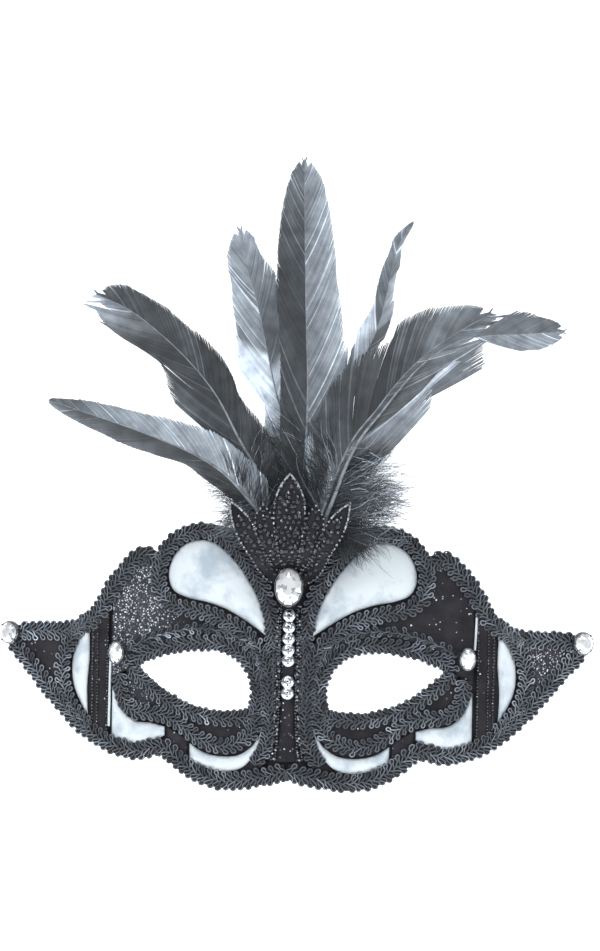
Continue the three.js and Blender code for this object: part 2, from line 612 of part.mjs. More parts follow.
function roundedBlock(width, deep, bottom, top, radius) {
  const w = width / 2 - radius;
  const d = deep / 2 - radius;
  const shape = new THREE.Shape();
  shape.absarc(w, d, radius, 0, Math.PI / 2);
  shape.absarc(-w, d, radius, Math.PI / 2, Math.PI);
  shape.absarc(-w, -d, radius, Math.PI, 1.5 * Math.PI);
  shape.absarc(w, -d, radius, 1.5 * Math.PI, 2 * Math.PI);
  const geometry = new THREE.ExtrudeGeometry(shape, { depth: top - bottom, bevelEnabled: false, curveSegments: 4 });
  geometry.translate(0, 0, bottom);
  return geometry;
}

function addPlume() {
  const block = roundedBlock(BINDING.width, BINDING.deep - 0.6, BINDING.bottom, BINDING.top, 3);
  block.translate(BINDING.x, layerDepth(3) - 0.2, 0);
  let binding = solidOf(block);
  for (const [name, spec] of Object.entries(FEATHERS)) {
    add("feather_" + name, feather(spec), spec.material);
    binding = binding.subtract(feather(spec, GAP));
  }
  add("plume_binding", largest(binding), FELT);
}

// ---- Ribbon tabs on the back of the wings ----
function addTabs() {
  const normal = normalAt(TAB.x, TAB.z);
  const side = new THREE.Vector3(0, 0, 1).cross(normal).normalize();
  const up = normal.clone().cross(side).normalize();
  const centre = surfacePoint(TAB.x, TAB.z, -LINING_BACK - GAP - 0.4 - TAB.thick / 2);
  const box = new THREE.BoxGeometry(TAB.width, TAB.thick, TAB.height);
  box.applyMatrix4(new THREE.Matrix4().makeBasis(side.negate(), normal.negate(), up).setPosition(centre));
  addPair("ribbon_tab", solidOf(box), FELT);
}

addBody();
addCoverings();
addTrims();
addSequins();
addApplique();
addStones();
addPlume();
addTabs();

export default mask;
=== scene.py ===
"""A Venetian masquerade mask: satin, velvet, looped gimp braid, beads, rhinestones and a feather plume.

Lengths in this script are millimetres in the CAD's frame, +X to the viewer's right, +Z up, the front facing
-Y. Pieces are scaled to metres when their meshes are made.
"""
import math

import bmesh
import bpy
import numpy as np
from mathutils import Matrix, Vector
from mathutils.geometry import delaunay_2d_cdt


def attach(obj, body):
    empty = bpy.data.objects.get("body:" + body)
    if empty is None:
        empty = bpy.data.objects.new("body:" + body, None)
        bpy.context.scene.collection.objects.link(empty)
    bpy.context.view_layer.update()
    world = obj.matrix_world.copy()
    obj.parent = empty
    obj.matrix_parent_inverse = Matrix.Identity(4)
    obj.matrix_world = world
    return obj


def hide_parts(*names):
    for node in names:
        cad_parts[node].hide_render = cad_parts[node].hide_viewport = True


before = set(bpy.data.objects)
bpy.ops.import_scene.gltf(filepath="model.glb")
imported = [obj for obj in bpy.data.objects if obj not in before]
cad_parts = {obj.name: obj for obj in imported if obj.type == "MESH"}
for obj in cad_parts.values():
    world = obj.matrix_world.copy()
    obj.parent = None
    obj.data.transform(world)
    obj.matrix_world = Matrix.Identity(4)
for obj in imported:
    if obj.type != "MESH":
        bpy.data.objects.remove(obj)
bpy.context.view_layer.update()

MM = 0.001
BODY = "root"
SIDES = (("right", False), ("left", True))

# ---- Driving dimensions ----
HALF_SPAN = 112.0
FACE_BEND = 44.0
BEND_POWER = 1.7
NOSE_RISE = 7.0
NOSE_SLOPE = 0.1
NOSE_WIDTH = 12.0
UPRIGHT_BEND = 0.0012
LINING_BACK = 2.7
SHELL_INSET = 1.2
EYE_MARGIN = 0.8
CLOTH = (0.3, 0.65)
VELVET = (1.0, 1.8)
PANEL_REAR = 1.0
BRAID_REAR = 2.1

EDGE_BRAID_WIDTH = 7.8
BRAID_WIDTH = 6.9
ROW_WIDTH = 5.0
LOOP_PITCH = 2.9
CORD_RADIUS = 0.36
NECK_GAP = 0.3
LOOP_SLANT = 0.8
CORD_SIDES = 6
LOOP_STEPS = 26


# ---- Camera, light and floor ----
CAMERA_DISTANCE = 2500.0
CAMERA_AZIMUTH = 3.4
CAMERA_ELEVATION = 0.6
CAMERA_ROLL = 1.0
VIEW_CENTRE = (1.8, 20.0, 73.2)
VIEW_HEIGHT = 366.5
SENSOR = 36.0


def make_camera():
    data = bpy.data.cameras.new("camera")
    data.sensor_width = SENSOR
    data.lens = SENSOR * CAMERA_DISTANCE / VIEW_HEIGHT
    data.clip_end = 50
    camera = bpy.data.objects.new("camera", data)
    bpy.context.scene.collection.objects.link(camera)
    azimuth = math.radians(CAMERA_AZIMUTH)
    elevation = math.radians(CAMERA_ELEVATION)
    away = Vector((
        math.sin(azimuth) * math.cos(elevation),
        -math.cos(azimuth) * math.cos(elevation),
        math.sin(elevation),
    ))
    target = Vector(VIEW_CENTRE) * MM
    camera.location = target + away * CAMERA_DISTANCE * MM
    turn = (-away).to_track_quat("-Z", "Y").to_matrix().to_4x4()
    roll = Matrix.Rotation(math.radians(CAMERA_ROLL), 4, "Z")
    camera.matrix_world = Matrix.Translation(camera.location) @ turn @ roll
    bpy.context.scene.camera = camera


def area_light(name, place, aim, size, power, colour=(1, 1, 1)):
    data = bpy.data.lights.new(name, "AREA")
    data.shape = "RECTANGLE"
    data.size = size[0]
    data.size_y = size[1]
    data.energy = power
    data.color = colour
    light = bpy.data.objects.new(name, data)
    light.location = place
    light.rotation_euler = (Vector(aim) - Vector(place)).to_track_quat("-Z", "Y").to_euler()
    bpy.context.scene.collection.objects.link(light)


def make_studio():
    scene = bpy.context.scene
    scene.view_settings.view_transform = "Standard"
    world = bpy.data.worlds.new("studio")
    world.use_nodes = True
    background = world.node_tree.nodes["Background"]
    background.inputs["Color"].default_value = (0.94, 0.97, 1.0, 1)
    background.inputs["Strength"].default_value = 0.42
    scene.world = world
    aim = (0, 0.01, 0.04)
    area_light("key", (-0.5, -0.9, 0.75), aim, (0.4, 0.4), 4.2, (0.97, 0.985, 1.0))
    area_light("fill", (0.9, -0.8, 0.25), aim, (0.5, 0.5), 1.4)
    area_light("overhead", (0.0, -0.35, 0.9), aim, (0.9, 0.35), 2.2)
    area_light("back_left", (-0.9, 0.9, 0.5), aim, (0.6, 0.6), 3)
    area_light("back_right", (0.9, 0.9, 0.5), aim, (0.6, 0.6), 3)


def make_floor():
    """A pale floor well below the mask, curving up into a wall behind it."""
    near, far, radius, wall = -7.0, 3.2, 0.6, 3.2
    level = -0.14
    profile = [(near, level)]
    for i in range(13):
        angle = math.pi / 2 * i / 12
        profile.append((far + radius * math.sin(angle), level + radius * (1 - math.cos(angle))))
    profile.append((far + radius, level + wall))
    half = 7.0
    points = [(x, y, z) for y, z in profile for x in (-half, half)]
    faces = [(2 * i, 2 * i + 1, 2 * i + 3, 2 * i + 2) for i in range(len(profile) - 1)]
    mesh = bpy.data.meshes.new("floor")
    mesh.from_pydata(points, [], faces)
    mesh.polygons.foreach_set("use_smooth", [True] * len(faces))
    floor = bpy.data.objects.new("floor", mesh)
    bpy.context.scene.collection.objects.link(floor)
    look = Look("floor_paper")
    look.set("Base Color", (0.93, 0.94, 0.95, 1))
    look.set("Roughness", 0.9)
    look.set("Emission Color", (0.97, 0.985, 1.0, 1))
    look.set("Emission Strength", 0.85)
    mesh.materials.append(look.material)


# ---- Materials ----
class Look:
    """A node material under construction. Textures run in object space, which is metres."""

    def __init__(self, name):
        self.material = bpy.data.materials.new(name)
        self.material.use_nodes = True
        self.nodes = self.material.node_tree.nodes
        self.links = self.material.node_tree.links
        self.shader = self.nodes["Principled BSDF"]
        self.coordinates = self.nodes.new("ShaderNodeTexCoord").outputs["Object"]

    def set(self, socket, value):
        self.shader.inputs[socket].default_value = value

    def link(self, output, socket):
        self.links.new(output, self.shader.inputs[socket])

    def noise(self, size, detail, roughness=0.55):
        """Noise whose features are about size millimetres."""
        node = self.nodes.new("ShaderNodeTexNoise")
        node.inputs["Scale"].default_value = 1 / (size * MM)
        node.inputs["Detail"].default_value = detail
        node.inputs["Roughness"].default_value = roughness
        self.links.new(self.coordinates, node.inputs["Vector"])
        return node.outputs["Fac"]

    def wave(self, size, direction, distortion=0.0):
        """Even bands, each about size millimetres wide."""
        node = self.nodes.new("ShaderNodeTexWave")
        node.bands_direction = direction
        node.inputs["Scale"].default_value = 0.314 / (size * MM)
        node.inputs["Distortion"].default_value = distortion
        self.links.new(self.coordinates, node.inputs["Vector"])
        return node.outputs["Fac"]

    def cells(self, size, output="Distance"):
        node = self.nodes.new("ShaderNodeTexVoronoi")
        node.inputs["Scale"].default_value = 1 / (size * MM)
        self.links.new(self.coordinates, node.inputs["Vector"])
        return node.outputs[output]

    def ramp(self, value, stops):
        node = self.nodes.new("ShaderNodeValToRGB")
        elements = node.color_ramp.elements
        while len(elements) < len(stops):
            elements.new(0.5)
        for element, (place, colour) in zip(elements, stops):
            element.position = place
            element.color = (*colour, 1)
        self.links.new(value, node.inputs["Fac"])
        return node.outputs["Color"]

    def mottle(self, noise, low, dark, high, light):
        """Two colours, or two numbers, mixed by noise."""
        dark, light = (value if isinstance(value, tuple) else (value,) * 3 for value in (dark, light))
        return self.ramp(self.noise(*noise), [(low, dark), (high, light)])

    def math(self, kind, a, b=None):
        node = self.nodes.new("ShaderNodeMath")
        node.operation = kind
        for socket, value in zip(node.inputs, (a, b)):
            if value is None:
                continue
            if isinstance(value, (int, float)):
                socket.default_value = value
            else:
                self.links.new(value, socket)
        return node.outputs[0]

    def mix(self, factor, a, b, kind="MIX"):
        node = self.nodes.new("ShaderNodeMix")
        node.data_type = "RGBA"
        node.blend_type = kind
        for socket, value in ((node.inputs["Factor"], factor), (node.inputs[6], a), (node.inputs[7], b)):
            if isinstance(value, (int, float)):
                socket.default_value = value
            elif isinstance(value, tuple):
                socket.default_value = (*value, 1)
            else:
                self.links.new(value, socket)
        return node.outputs[2]

    def attribute(self, name):
        node = self.nodes.new("ShaderNodeAttribute")
        node.attribute_name = name
        return node.outputs["Color"]

    def bump(self, height, strength, distance):
        """Adds a bump layer of this height in millimetres over those already there."""
        node = self.nodes.new("ShaderNodeBump")
        node.inputs["Strength"].default_value = strength
        node.inputs["Distance"].default_value = distance * MM
        self.links.new(height, node.inputs["Height"])
        normal = self.shader.inputs["Normal"]
        if normal.links:
            self.links.new(normal.links[0].from_socket, node.inputs["Normal"])
        self.links.new(node.outputs["Normal"], normal)


def velvet_look():
    look = Look("black_velvet")
    pile = look.ramp(look.noise(9, 4), [(0.35, (0.013, 0.012, 0.014)), (0.7, (0.034, 0.033, 0.038))])
    fuzz = look.noise(0.25, 2)
    base = look.mix(look.math("MULTIPLY", fuzz, 0.35), pile, (0.05, 0.05, 0.06))
    haze = look.math("MULTIPLY", look.attribute("glitter"), look.math("MULTIPLY", look.noise(4, 3), 0.22))
    base = look.mix(haze, base, (0.16, 0.16, 0.18))
    # Glitter: a few of the fine cells are pale glossy flakes, more of them where the attribute is high. Their
    # random brightness is a painted glint.
    split = look.nodes.new("ShaderNodeSeparateColor")
    look.links.new(look.cells(0.78, output="Color"), split.inputs["Color"])
    chance = look.math("MULTIPLY", look.attribute("glitter"), look.math("ADD", look.noise(7, 2), 0.06))
    limit = look.math("SUBTRACT", 1.0, chance)
    chosen = look.math("GREATER_THAN", split.outputs["Red"], limit)
    speck = look.math("MULTIPLY", chosen, look.math("LESS_THAN", look.cells(0.78), 0.42))
    # Painted glint: each flake's brightness is drawn at random.
    glint_paint = look.mix(look.math("POWER", split.outputs["Green"], 1.8), (0.07, 0.08, 0.1), (0.85, 0.9, 0.98))
    look.link(look.mix(speck, base, glint_paint), "Base Color")
    look.link(look.mix(speck, (0.95, 0.95, 0.95), (0.3, 0.3, 0.3)), "Roughness")
    look.set("Sheen Weight", 0.12)
    look.set("Sheen Roughness", 0.4)
    look.set("Sheen Tint", (0.62, 0.66, 0.74, 1))
    look.set("Specular IOR Level", 0.2)
    look.bump(fuzz, 0.7, 0.12)
    return look.material


def satin_look():
    look = Look("padded_satin")
    weft = look.wave(0.36, "Z", 0.4)
    warp = look.wave(0.3, "X", 0.6)
    # The cloudy pale and blue-grey patches are painted shading and reflection of the satin's soft folds.
    fold_shade_paint = look.noise(13, 4, 0.6)
    tone = look.ramp(fold_shade_paint, [(0.33, (0.42, 0.5, 0.57)), (0.52, (0.72, 0.78, 0.82))])
    threads = look.math("MULTIPLY", weft, warp)
    look.link(look.mix(look.math("MULTIPLY", threads, 0.2), tone, (0.5, 0.56, 0.62)), "Base Color")
    look.link(look.ramp(look.noise(3, 3), [(0.3, (0.36,) * 3), (0.7, (0.52,) * 3)]), "Roughness")
    look.set("Sheen Weight", 0.1)
    look.set("Specular IOR Level", 0.5)
    look.bump(threads, 0.25, 0.06)
    look.bump(look.noise(5, 3), 0.25, 0.6)
    return look.material


def gimp_look():
    look = Look("gimp_cord")
    fibres = look.noise(0.16, 2)
    wear = look.ramp(look.noise(1.4, 2), [(0.3, (0.62, 0.72, 0.88)), (0.75, (0.98, 1.1, 1.28))])
    # The tone attribute carries the cords' painted highlight; the wear noise varies it at random.
    look.link(look.mix(1.0, look.attribute("tone"), wear, "MULTIPLY"), "Base Color")
    look.set("Roughness", 0.36)
    look.set("Specular IOR Level", 0.45)
    look.bump(fibres, 0.5, 0.06)
    return look.material


def stone_look():
    look = Look("rhinestone")
    glints = look.cells(1.5, output="Color")
    shade = look.ramp(glints, [(0.14, (0.3, 0.33, 0.37)), (0.3, (0.78, 0.81, 0.84)), (0.5, (1.0, 1.0, 1.0))])
    look.link(shade, "Base Color")
    look.set("Metallic", 0.5)
    look.set("Roughness", 0.08)
    look.set("Coat Weight", 1.0)
    look.set("Coat Roughness", 0.02)
    look.bump(look.noise(1.4, 1), 0.05, 0.05)
    return look.material


def feather_look():
    look = Look("feather_barbs")
    tone = look.attribute("tone")
    mottle = look.ramp(look.noise(5.5, 4), [(0.32, (0.66, 0.66, 0.68)), (0.68, (1.25, 1.25, 1.23))])
    look.link(look.mix(1.0, tone, mottle, "MULTIPLY"), "Base Color")
    look.set("Roughness", 0.4)
    look.set("Specular IOR Level", 0.4)
    look.set("Sheen Weight", 0.05)
    look.bump(look.noise(0.3, 2), 0.2, 0.05)
    return look.material


def tape_look(name):
    look = Look(name)
    weave = look.math("MULTIPLY", look.wave(0.5, "X"), look.wave(0.5, "Z"))
    look.link(look.ramp(weave, [(0.1, (0.014, 0.014, 0.016)), (0.8, (0.06, 0.06, 0.066))]), "Base Color")
    look.set("Roughness", 0.8)
    look.set("Sheen Weight", 0.3)
    look.bump(weave, 0.6, 0.1)
    return look.material


# Materials with one mottled colour. Each has that mottle, its other shader values, where a tuple is another
# mottle, and its bump layers as (noise, strength, distance). A mottle is (noise, place, value, place, value).
BEAD_GLASS = {"Roughness": 0.06, "Specular IOR Level": 0.9, "Coat Weight": 0.8, "Coat Roughness": 0.03}
PLAIN_LOOKS = {
    "stitch_thread": (
        ((0.2, 2), 0.3, (0.03, 0.03, 0.035), 0.7, (0.1, 0.1, 0.11)),
        {"Roughness": 0.6},
        [((0.2, 2), 0.4, 0.05)],
    ),
    "gimp_core": (
        ((0.35, 2), 0.3, (0.008, 0.008, 0.011), 0.75, (0.03, 0.032, 0.04)),
        {"Roughness": 0.8},
        [((0.35, 2), 0.6, 0.1)],
    ),
    "black_bead": (
        ((0.9, 1), 0.4, (0.004, 0.004, 0.006), 0.7, (0.03, 0.033, 0.045)),
        BEAD_GLASS,
        [((0.4, 1), 0.12, 0.05)],
    ),
    # Silver for the bugle beads, and for pale beads that are painted glints on the black beadwork.
    "silver_and_glint_bead": (
        ((0.9, 1), 0.4, (0.07, 0.08, 0.1), 0.7, (0.5, 0.54, 0.6)),
        BEAD_GLASS,
        [((0.4, 1), 0.12, 0.05)],
    ),
    "black_sequin": (
        ((2.2, 2), 0.35, (0.012, 0.013, 0.018), 0.7, (0.05, 0.055, 0.07)),
        {"Metallic": 0.6, "Roughness": 0.22, "Coat Weight": 0.5, "Coat Roughness": 0.05},
        [((0.7, 1), 0.12, 0.05)],
    ),
    "silver_sequin": (
        ((1.6, 2), 0.35, (0.45, 0.48, 0.53), 0.7, (0.9, 0.93, 0.97)),
        {"Metallic": 1.0, "Roughness": 0.16},
        [((0.9, 1), 0.1, 0.05)],
    ),
    "stone_setting": (
        ((0.8, 3), 0.35, (0.12, 0.125, 0.14), 0.7, (0.4, 0.41, 0.44)),
        {"Metallic": 1.0, "Roughness": ((0.5, 2), 0.3, 0.2, 0.7, 0.42)},
        [((0.35, 2), 0.2, 0.05)],
    ),
    "feather_shaft": (
        ((3, 2), 0.3, (0.1, 0.11, 0.13), 0.7, (0.3, 0.33, 0.37)),
        {"Roughness": 0.3, "Specular IOR Level": 0.6},
        [((0.5, 2), 0.2, 0.05)],
    ),
    "lining_felt": (
        ((0.5, 6, 0.7), 0.3, (0.014, 0.014, 0.017), 0.75, (0.07, 0.07, 0.078)),
        {"Roughness": 0.95, "Sheen Weight": 0.5, "Sheen Roughness": 0.5},
        [((0.5, 6, 0.7), 0.9, 0.3), ((7, 3), 0.3, 0.6)],
    ),
    "moulded_shell": (
        ((6, 4), 0.3, (0.02, 0.02, 0.023), 0.7, (0.04, 0.04, 0.045)),
        {"Roughness": ((2, 3), 0.3, 0.45, 0.7, 0.65)},
        [((1.2, 3), 0.25, 0.1)],
    ),
}


def plain_look(name):
    colour, values, bumps = PLAIN_LOOKS[name]
    look = Look(name)
    look.link(look.mottle(*colour), "Base Color")
    for socket, value in values.items():
        if isinstance(value, tuple):
            look.link(look.mottle(*value), socket)
        else:
            look.set(socket, value)
    for noise, strength, distance in bumps:
        look.bump(look.noise(*noise), strength, distance)
    return look.material


# ---- The shape of the face ----
def unit(vectors, least=0.0):
    """The vectors at length 1. least keeps a vector of no length from a division by zero."""
    return vectors / (np.linalg.norm(vectors, axis=-1, keepdims=True) + least)


def depth_at(x, z):
    bend = FACE_BEND * (np.abs(x) / HALF_SPAN) ** BEND_POWER
    nose = (NOSE_RISE - NOSE_SLOPE * z) * np.exp(-((x / NOSE_WIDTH) ** 2))
    return bend + NOSE_RISE - nose + UPRIGHT_BEND * z * z - LINING_BACK


def normal_at(x, z):
    h = 0.01
    slope_x = (depth_at(x + h, z) - depth_at(x - h, z)) / (2 * h)
    slope_z = (depth_at(x, z + h) - depth_at(x, z - h)) / (2 * h)
    normal = np.stack([slope_x, -np.ones_like(slope_x), slope_z], axis=-1)
    return unit(normal)


def surface_point(x, z, d):
    """The point d in front of the shell, along the normal from (x, z)."""
    d = np.broadcast_to(d, np.shape(x))
    base = np.stack([x, depth_at(x, z), z], axis=-1)
    return base + normal_at(x, z) * d[..., None]


def front_point(x, z, d):
    """The point d in front of the shell that shows at (x, z) in the front view."""
    x = np.asarray(x, float)
    z = np.asarray(z, float)
    point = surface_point(x, z, d)
    base_x, base_z = x.copy(), z.copy()
    for _ in range(4):
        base_x = base_x + x - point[..., 0]
        base_z = base_z + z - point[..., 2]
        point = surface_point(base_x, base_z, d)
    return point


# ---- Curves and outlines in the front view ----
def smooth_curve(points, step, closed=False):
    """A centripetal curve through the points, sampled at even distances."""
    points = np.array(points, float)
    if closed:
        points = np.vstack([points[-1], points, points[:2]])
    else:
        points = np.vstack([2 * points[0] - points[1], points, 2 * points[-1] - points[-2]])
    samples = []
    for p0, p1, p2, p3 in zip(points, points[1:], points[2:], points[3:]):
        gaps = [max(np.linalg.norm(b - a), 1e-6) ** 0.5 for a, b in ((p0, p1), (p1, p2), (p2, p3))]
        t0, t1 = 0.0, gaps[0]
        t2, t3 = t1 + gaps[1], t1 + gaps[1] + gaps[2]
        count = max(4, int(np.linalg.norm(p2 - p1) / (0.25 * step)))
        t = np.linspace(t1, t2, count, endpoint=False)[:, None]
        a1 = (t1 - t) / (t1 - t0) * p0 + (t - t0) / (t1 - t0) * p1
        a2 = (t2 - t) / (t2 - t1) * p1 + (t - t1) / (t2 - t1) * p2
        a3 = (t3 - t) / (t3 - t2) * p2 + (t - t2) / (t3 - t2) * p3
        b1 = (t2 - t) / (t2 - t0) * a1 + (t - t0) / (t2 - t0) * a2
        b2 = (t3 - t) / (t3 - t1) * a2 + (t - t1) / (t3 - t1) * a3
        samples.append((t2 - t) / (t2 - t1) * b1 + (t - t1) / (t2 - t1) * b2)
    samples.append(points[-2][None, :])
    dense = np.vstack(samples)
    lengths = np.concatenate([[0], np.cumsum(np.linalg.norm(np.diff(dense, axis=0), axis=1))])
    count = max(2, int(round(lengths[-1] / step)) + 1)
    even = np.linspace(0, lengths[-1], count)
    return np.stack([np.interp(even, lengths, dense[:, k]) for k in range(dense.shape[1])], axis=1)


def outline(*runs, step=1.0):
    """A closed outline: each run is a smooth curve, and runs meet at corners."""
    return np.vstack([smooth_curve(run, step)[:-1] for run in runs])


def flipped(run):
    return [(-x, z) for x, z in reversed(run)]


def mirrored(points):
    return (np.asarray(points) * (-1, 1))[::-1]


def grown(points, distance):
    """The outline moved outwards, or inwards by a negative distance, with round outside corners."""
    area = 0.5 * np.sum(points[:, 0] * np.roll(points[:, 1], -1) - np.roll(points[:, 0], -1) * points[:, 1])
    side = 1 if area > 0 else -1
    into = points - np.roll(points, 1, axis=0)
    into = unit(into)
    out = np.roll(into, -1, axis=0)
    result = []
    for here, a, b in zip(points, into, out):
        normal_in = np.array([a[1], -a[0]]) * side
        normal_out = np.array([b[1], -b[0]]) * side
        turn = (a[0] * b[1] - a[1] * b[0]) * side * np.sign(distance)
        shares = np.linspace(0, 1, 6) if turn > 0.4 else (0.5,)
        for share in shares:
            normal = normal_in * (1 - share) + normal_out * share
            normal /= np.linalg.norm(normal)
            result.append(here + normal * distance / max(0.6, normal @ normal_out if share == 0.5 else 1))
    return np.array(result)


def inside(points, loop):
    """Which of the points lie inside the closed loop."""
    x, y = points[:, 0][:, None], points[:, 1][:, None]
    a, b = loop, np.roll(loop, -1, axis=0)
    crosses = (a[:, 1] > y) != (b[:, 1] > y)
    rise = np.where(b[:, 1] == a[:, 1], 1e-12, b[:, 1] - a[:, 1])
    at = a[:, 0] + (y - a[:, 1]) * (b[:, 0] - a[:, 0]) / rise
    return (np.sum(crosses & (x < at), axis=1) % 2) == 1


def edge_distance(points, loop):
    """Distance from each point to the loop."""
    a, b = loop, np.roll(loop, -1, axis=0)
    along = b - a
    length2 = np.maximum(np.sum(along**2, axis=1), 1e-12)
    best = np.full(len(points), np.inf)
    for start in range(0, len(points), 4000):
        part = points[start:start + 4000, None, :]
        share = np.clip(np.sum((part - a) * along, axis=2) / length2, 0, 1)
        gap = np.linalg.norm(part - (a + share[..., None] * along), axis=2)
        best[start:start + 4000] = gap.min(axis=1)
    return best


# ---- Outlines and routes of the right half, as in the CAD ----
TOP_RUN = [(0, 52), (12, 52.4), (22, 53.6), (35.7, 55.4), (45, 52.5), (50.5, 47.6), (52, 43.8)]
SIDE_RUN = [
    (52, 43.8), (57.7, 45.4), (62, 43), (66.3, 39), (70.5, 34.5), (74, 29.3), (77, 23.5), (81.5, 18.2),
    (86.5, 15.5), (92, 14.9), (100.5, 14.6), (109, 13.8), (114, 10.5), (113.8, 5.5), (108.7, -0.6),
    (97.5, -14), (85.9, -26), (75.3, -33.4), (66, -37), (58, -37.6), (50, -35.3),
]
CHIN_RUN = [(50, -35.3), (42.5, -42.1), (33, -46.6), (22.8, -48.1), (11, -46.3), (0, -43)]
EYE_RUNS = (
    [(58.5, -1.3), (51, 2), (43.5, 4), (36, 5.1), (29, 5), (22.5, 3), (17.8, -1.2), (15.2, -7), (15.2, -12),
     (16, -16)],
    [(16, -16), (22, -16.7), (28, -16.9), (34.5, -15.8), (41, -13.6), (48, -9.8), (54, -5.2), (58.5, -1.3)],
)
VELVET_OUTLINES = {
    "brow": (
        [(10.5, 4.5), (13.5, 9.8), (19, 14.8), (27, 18.2), (38, 20.6), (47, 23.6), (51.5, 29)],
        [(51.5, 29), (53.6, 38.6), (58, 41), (63.5, 36.4), (67.6, 31), (69.8, 27)],
        [(69.8, 27), (69.8, -6.5)],
        [(69.8, -6.5), (64.5, -3.2), (60, 1.4)],
        [(60, 1.4), (52, 4.9), (43.5, 7), (36, 8.2), (28, 7.9), (20.5, 5.4), (14.6, 0.2)],
        [(14.6, 0.2), (10.5, 4.5)],
    ),
    "wing": (
        [(84.5, 11.9), (92, 12.6), (101, 12.2), (110.6, 11.6)],
        [(110.6, 11.6), (112, 7), (106.8, 0.4), (95.5, -13.2), (84.2, -24.8), (81, -27.4)],
        [(81, -27.4), (87, -20.5), (90.4, -11), (90.8, -2.5), (88.8, 5.5), (84.5, 11.9)],
    ),
    "undereye": (
        [(11.6, -18.4), (20, -20.3), (28, -20.6), (36, -19.4), (43, -17), (50, -13), (57, -7.8),
         (62.6, -3.6)],
        [(62.6, -3.6), (67.6, -7.6), (66.2, -13.5), (62.5, -18.8), (56, -20), (49, -20.6), (42.5, -24.2)],
        [(42.5, -24.2), (35, -28.6), (26, -31), (18.5, -29.6), (14, -25.6), (11.6, -18.4)],
    ),
}
PANEL_OUTLINES = {
    "forehead": (
        [(8.2, 11.4), (9.8, 18.6), (12.6, 26), (16.4, 32.8), (20.8, 38.8), (25.6, 43.8), (31, 47.2),
         (37.6, 47.6), (43.4, 44.6), (47, 39), (47.7, 33), (45.6, 28.2), (40, 25.6), (32, 24),
         (24.4, 21.4), (16.6, 17), (8.2, 11.4)],
    ),
    "temple": (
        [(79.4, 15), (82.6, 10), (85, 4.5), (86, -2), (85.4, -9), (82.8, -15.5), (79.4, -21.4)],
        [(79.4, -21.4), (79.8, -10), (79, 2), (79.4, 15)],
    ),
    "cheek": (
        [(69.6, -9.6), (69.6, -29.8)],
        [(69.6, -29.8), (64, -31.2), (57.5, -31.4), (51.5, -29.6), (48.4, -27.6)],
        [(48.4, -27.6), (48.4, -24.4)],
        [(48.4, -24.4), (54, -23), (60, -22.6), (65.4, -18.6), (69.6, -9.6)],
    ),
    "undereye": (
        [(9.8, -24.6), (13.6, -30.4), (19, -34.2), (26, -35), (32.6, -33.8), (38.4, -30.4)],
        [(38.4, -30.4), (38.4, -37.4)],
        [(38.4, -37.4), (32, -39.6), (24, -40.8), (17.4, -38.8), (12.6, -33), (9.8, -24.6)],
    ),
}
CHEEK_TAB = (
    [(39.6, -28.6), (47.2, -24.4)],
    [(47.2, -24.4), (47.2, -33.4)],
    [(47.2, -33.4), (39.6, -38.6)],
    [(39.6, -38.6), (39.6, -28.6)],
)
NOSE_STRIP = (
    [(2.6, 24), (2.6, -20), (4, -36)],
    [(4, -36), (-4, -36)],
    [(-4, -36), (-2.6, -20), (-2.6, 24)],
    [(-2.6, 24), (2.6, 24)],
)
APPLIQUE_HALF = (
    [(0, 30), (6, 32), (10.4, 36.4), (14, 41.4), (17.8, 46.8), (20.8, 52.4), (22.4, 58), (23, 63.4)],
    [(23, 63.4), (19, 60.6), (15.2, 56.6), (12.6, 51.2)],
    [(12.6, 51.2), (12.9, 57.6), (10, 62.2)],
    [(10, 62.2), (7.5, 59.4), (6, 55.4)],
    [(6, 55.4), (5.2, 65.4), (0, 74)],
)
EDGE_ROUTE = [
    (51.8, 39.2), (57.4, 41.7), (60.8, 40), (64, 36.6), (67.5, 32.3), (70.7, 27.6), (73.8, 21.6), (79, 15.4),
    (85.6, 12), (92, 11.2), (100, 10.9), (106.5, 10.2), (110, 7.6), (108.2, 3.6), (105, 0.2),
    (94.7, -11.8), (83.4, -23.3), (73.6, -30.1), (65.4, -33.3), (58, -34), (50.6, -32), (46.2, -34),
    (40.4, -38.7), (32, -43), (22.8, -44.4), (11.5, -42.6), (0.2, -39.5),
]
FOREHEAD_ROUTE = [
    (6.2, 5), (6.4, 11), (7.2, 19), (9.8, 27.8), (13.6, 34.8), (18.2, 41), (23.4, 46.4), (29.4, 50.4),
    (37, 51.4), (43.8, 48.8), (49.2, 43.2), (51.6, 35.4), (50.6, 27.6), (45.2, 22.8), (37, 20.8),
    (29.5, 18.9), (22.5, 16), (16.4, 12), (11.4, 6.8), (8.4, 0), (7.4, -8), (7.0, -16), (6.8, -24),
    (8.4, -31), (12.2, -37.4),
]
NOSE_FOOT_ROUTE = [(5.6, 14), (5.6, 4), (5.4, -8), (5.4, -16)]
UNDEREYE_ROUTE = [
    (11, -17), (14.2, -25.6), (19.4, -29.4), (26, -30.9), (32.4, -29.4), (38, -26.2), (43.5, -22.4),
    (49, -19.8), (55, -19.2), (60.4, -18.6), (64.4, -15), (66.2, -10), (66.6, -4.6),
]
TEMPLE_ROUTE = [
    (79.2, 17), (85.4, 10), (88.8, 3.4), (90, -3.2), (89.2, -10.4), (86.2, -17), (82, -22.2), (78.6, -25.4),
]
BROW_ROUTE = [
    (10.4, -7), (10.6, 0), (14.8, 7.2), (21.5, 11.8), (29, 13.6), (37, 13.9), (45, 12.6), (53, 10.2),
    (59, 7.6), (63.4, 4.6),
]
TEMPLE_BAND = [(74.6, 19.5), (74.6, 8), (74.6, -8), (74.6, -28.5)]
NOSE_BEAD_LINE = [(3.9, 23.5), (3.9, 8), (3.9, -10), (4, -22), (5, -35)]
SEQUIN_HEIGHTS = (20, 15.6, 11.2, 6.9, 2.9, -5.3, -9.6)


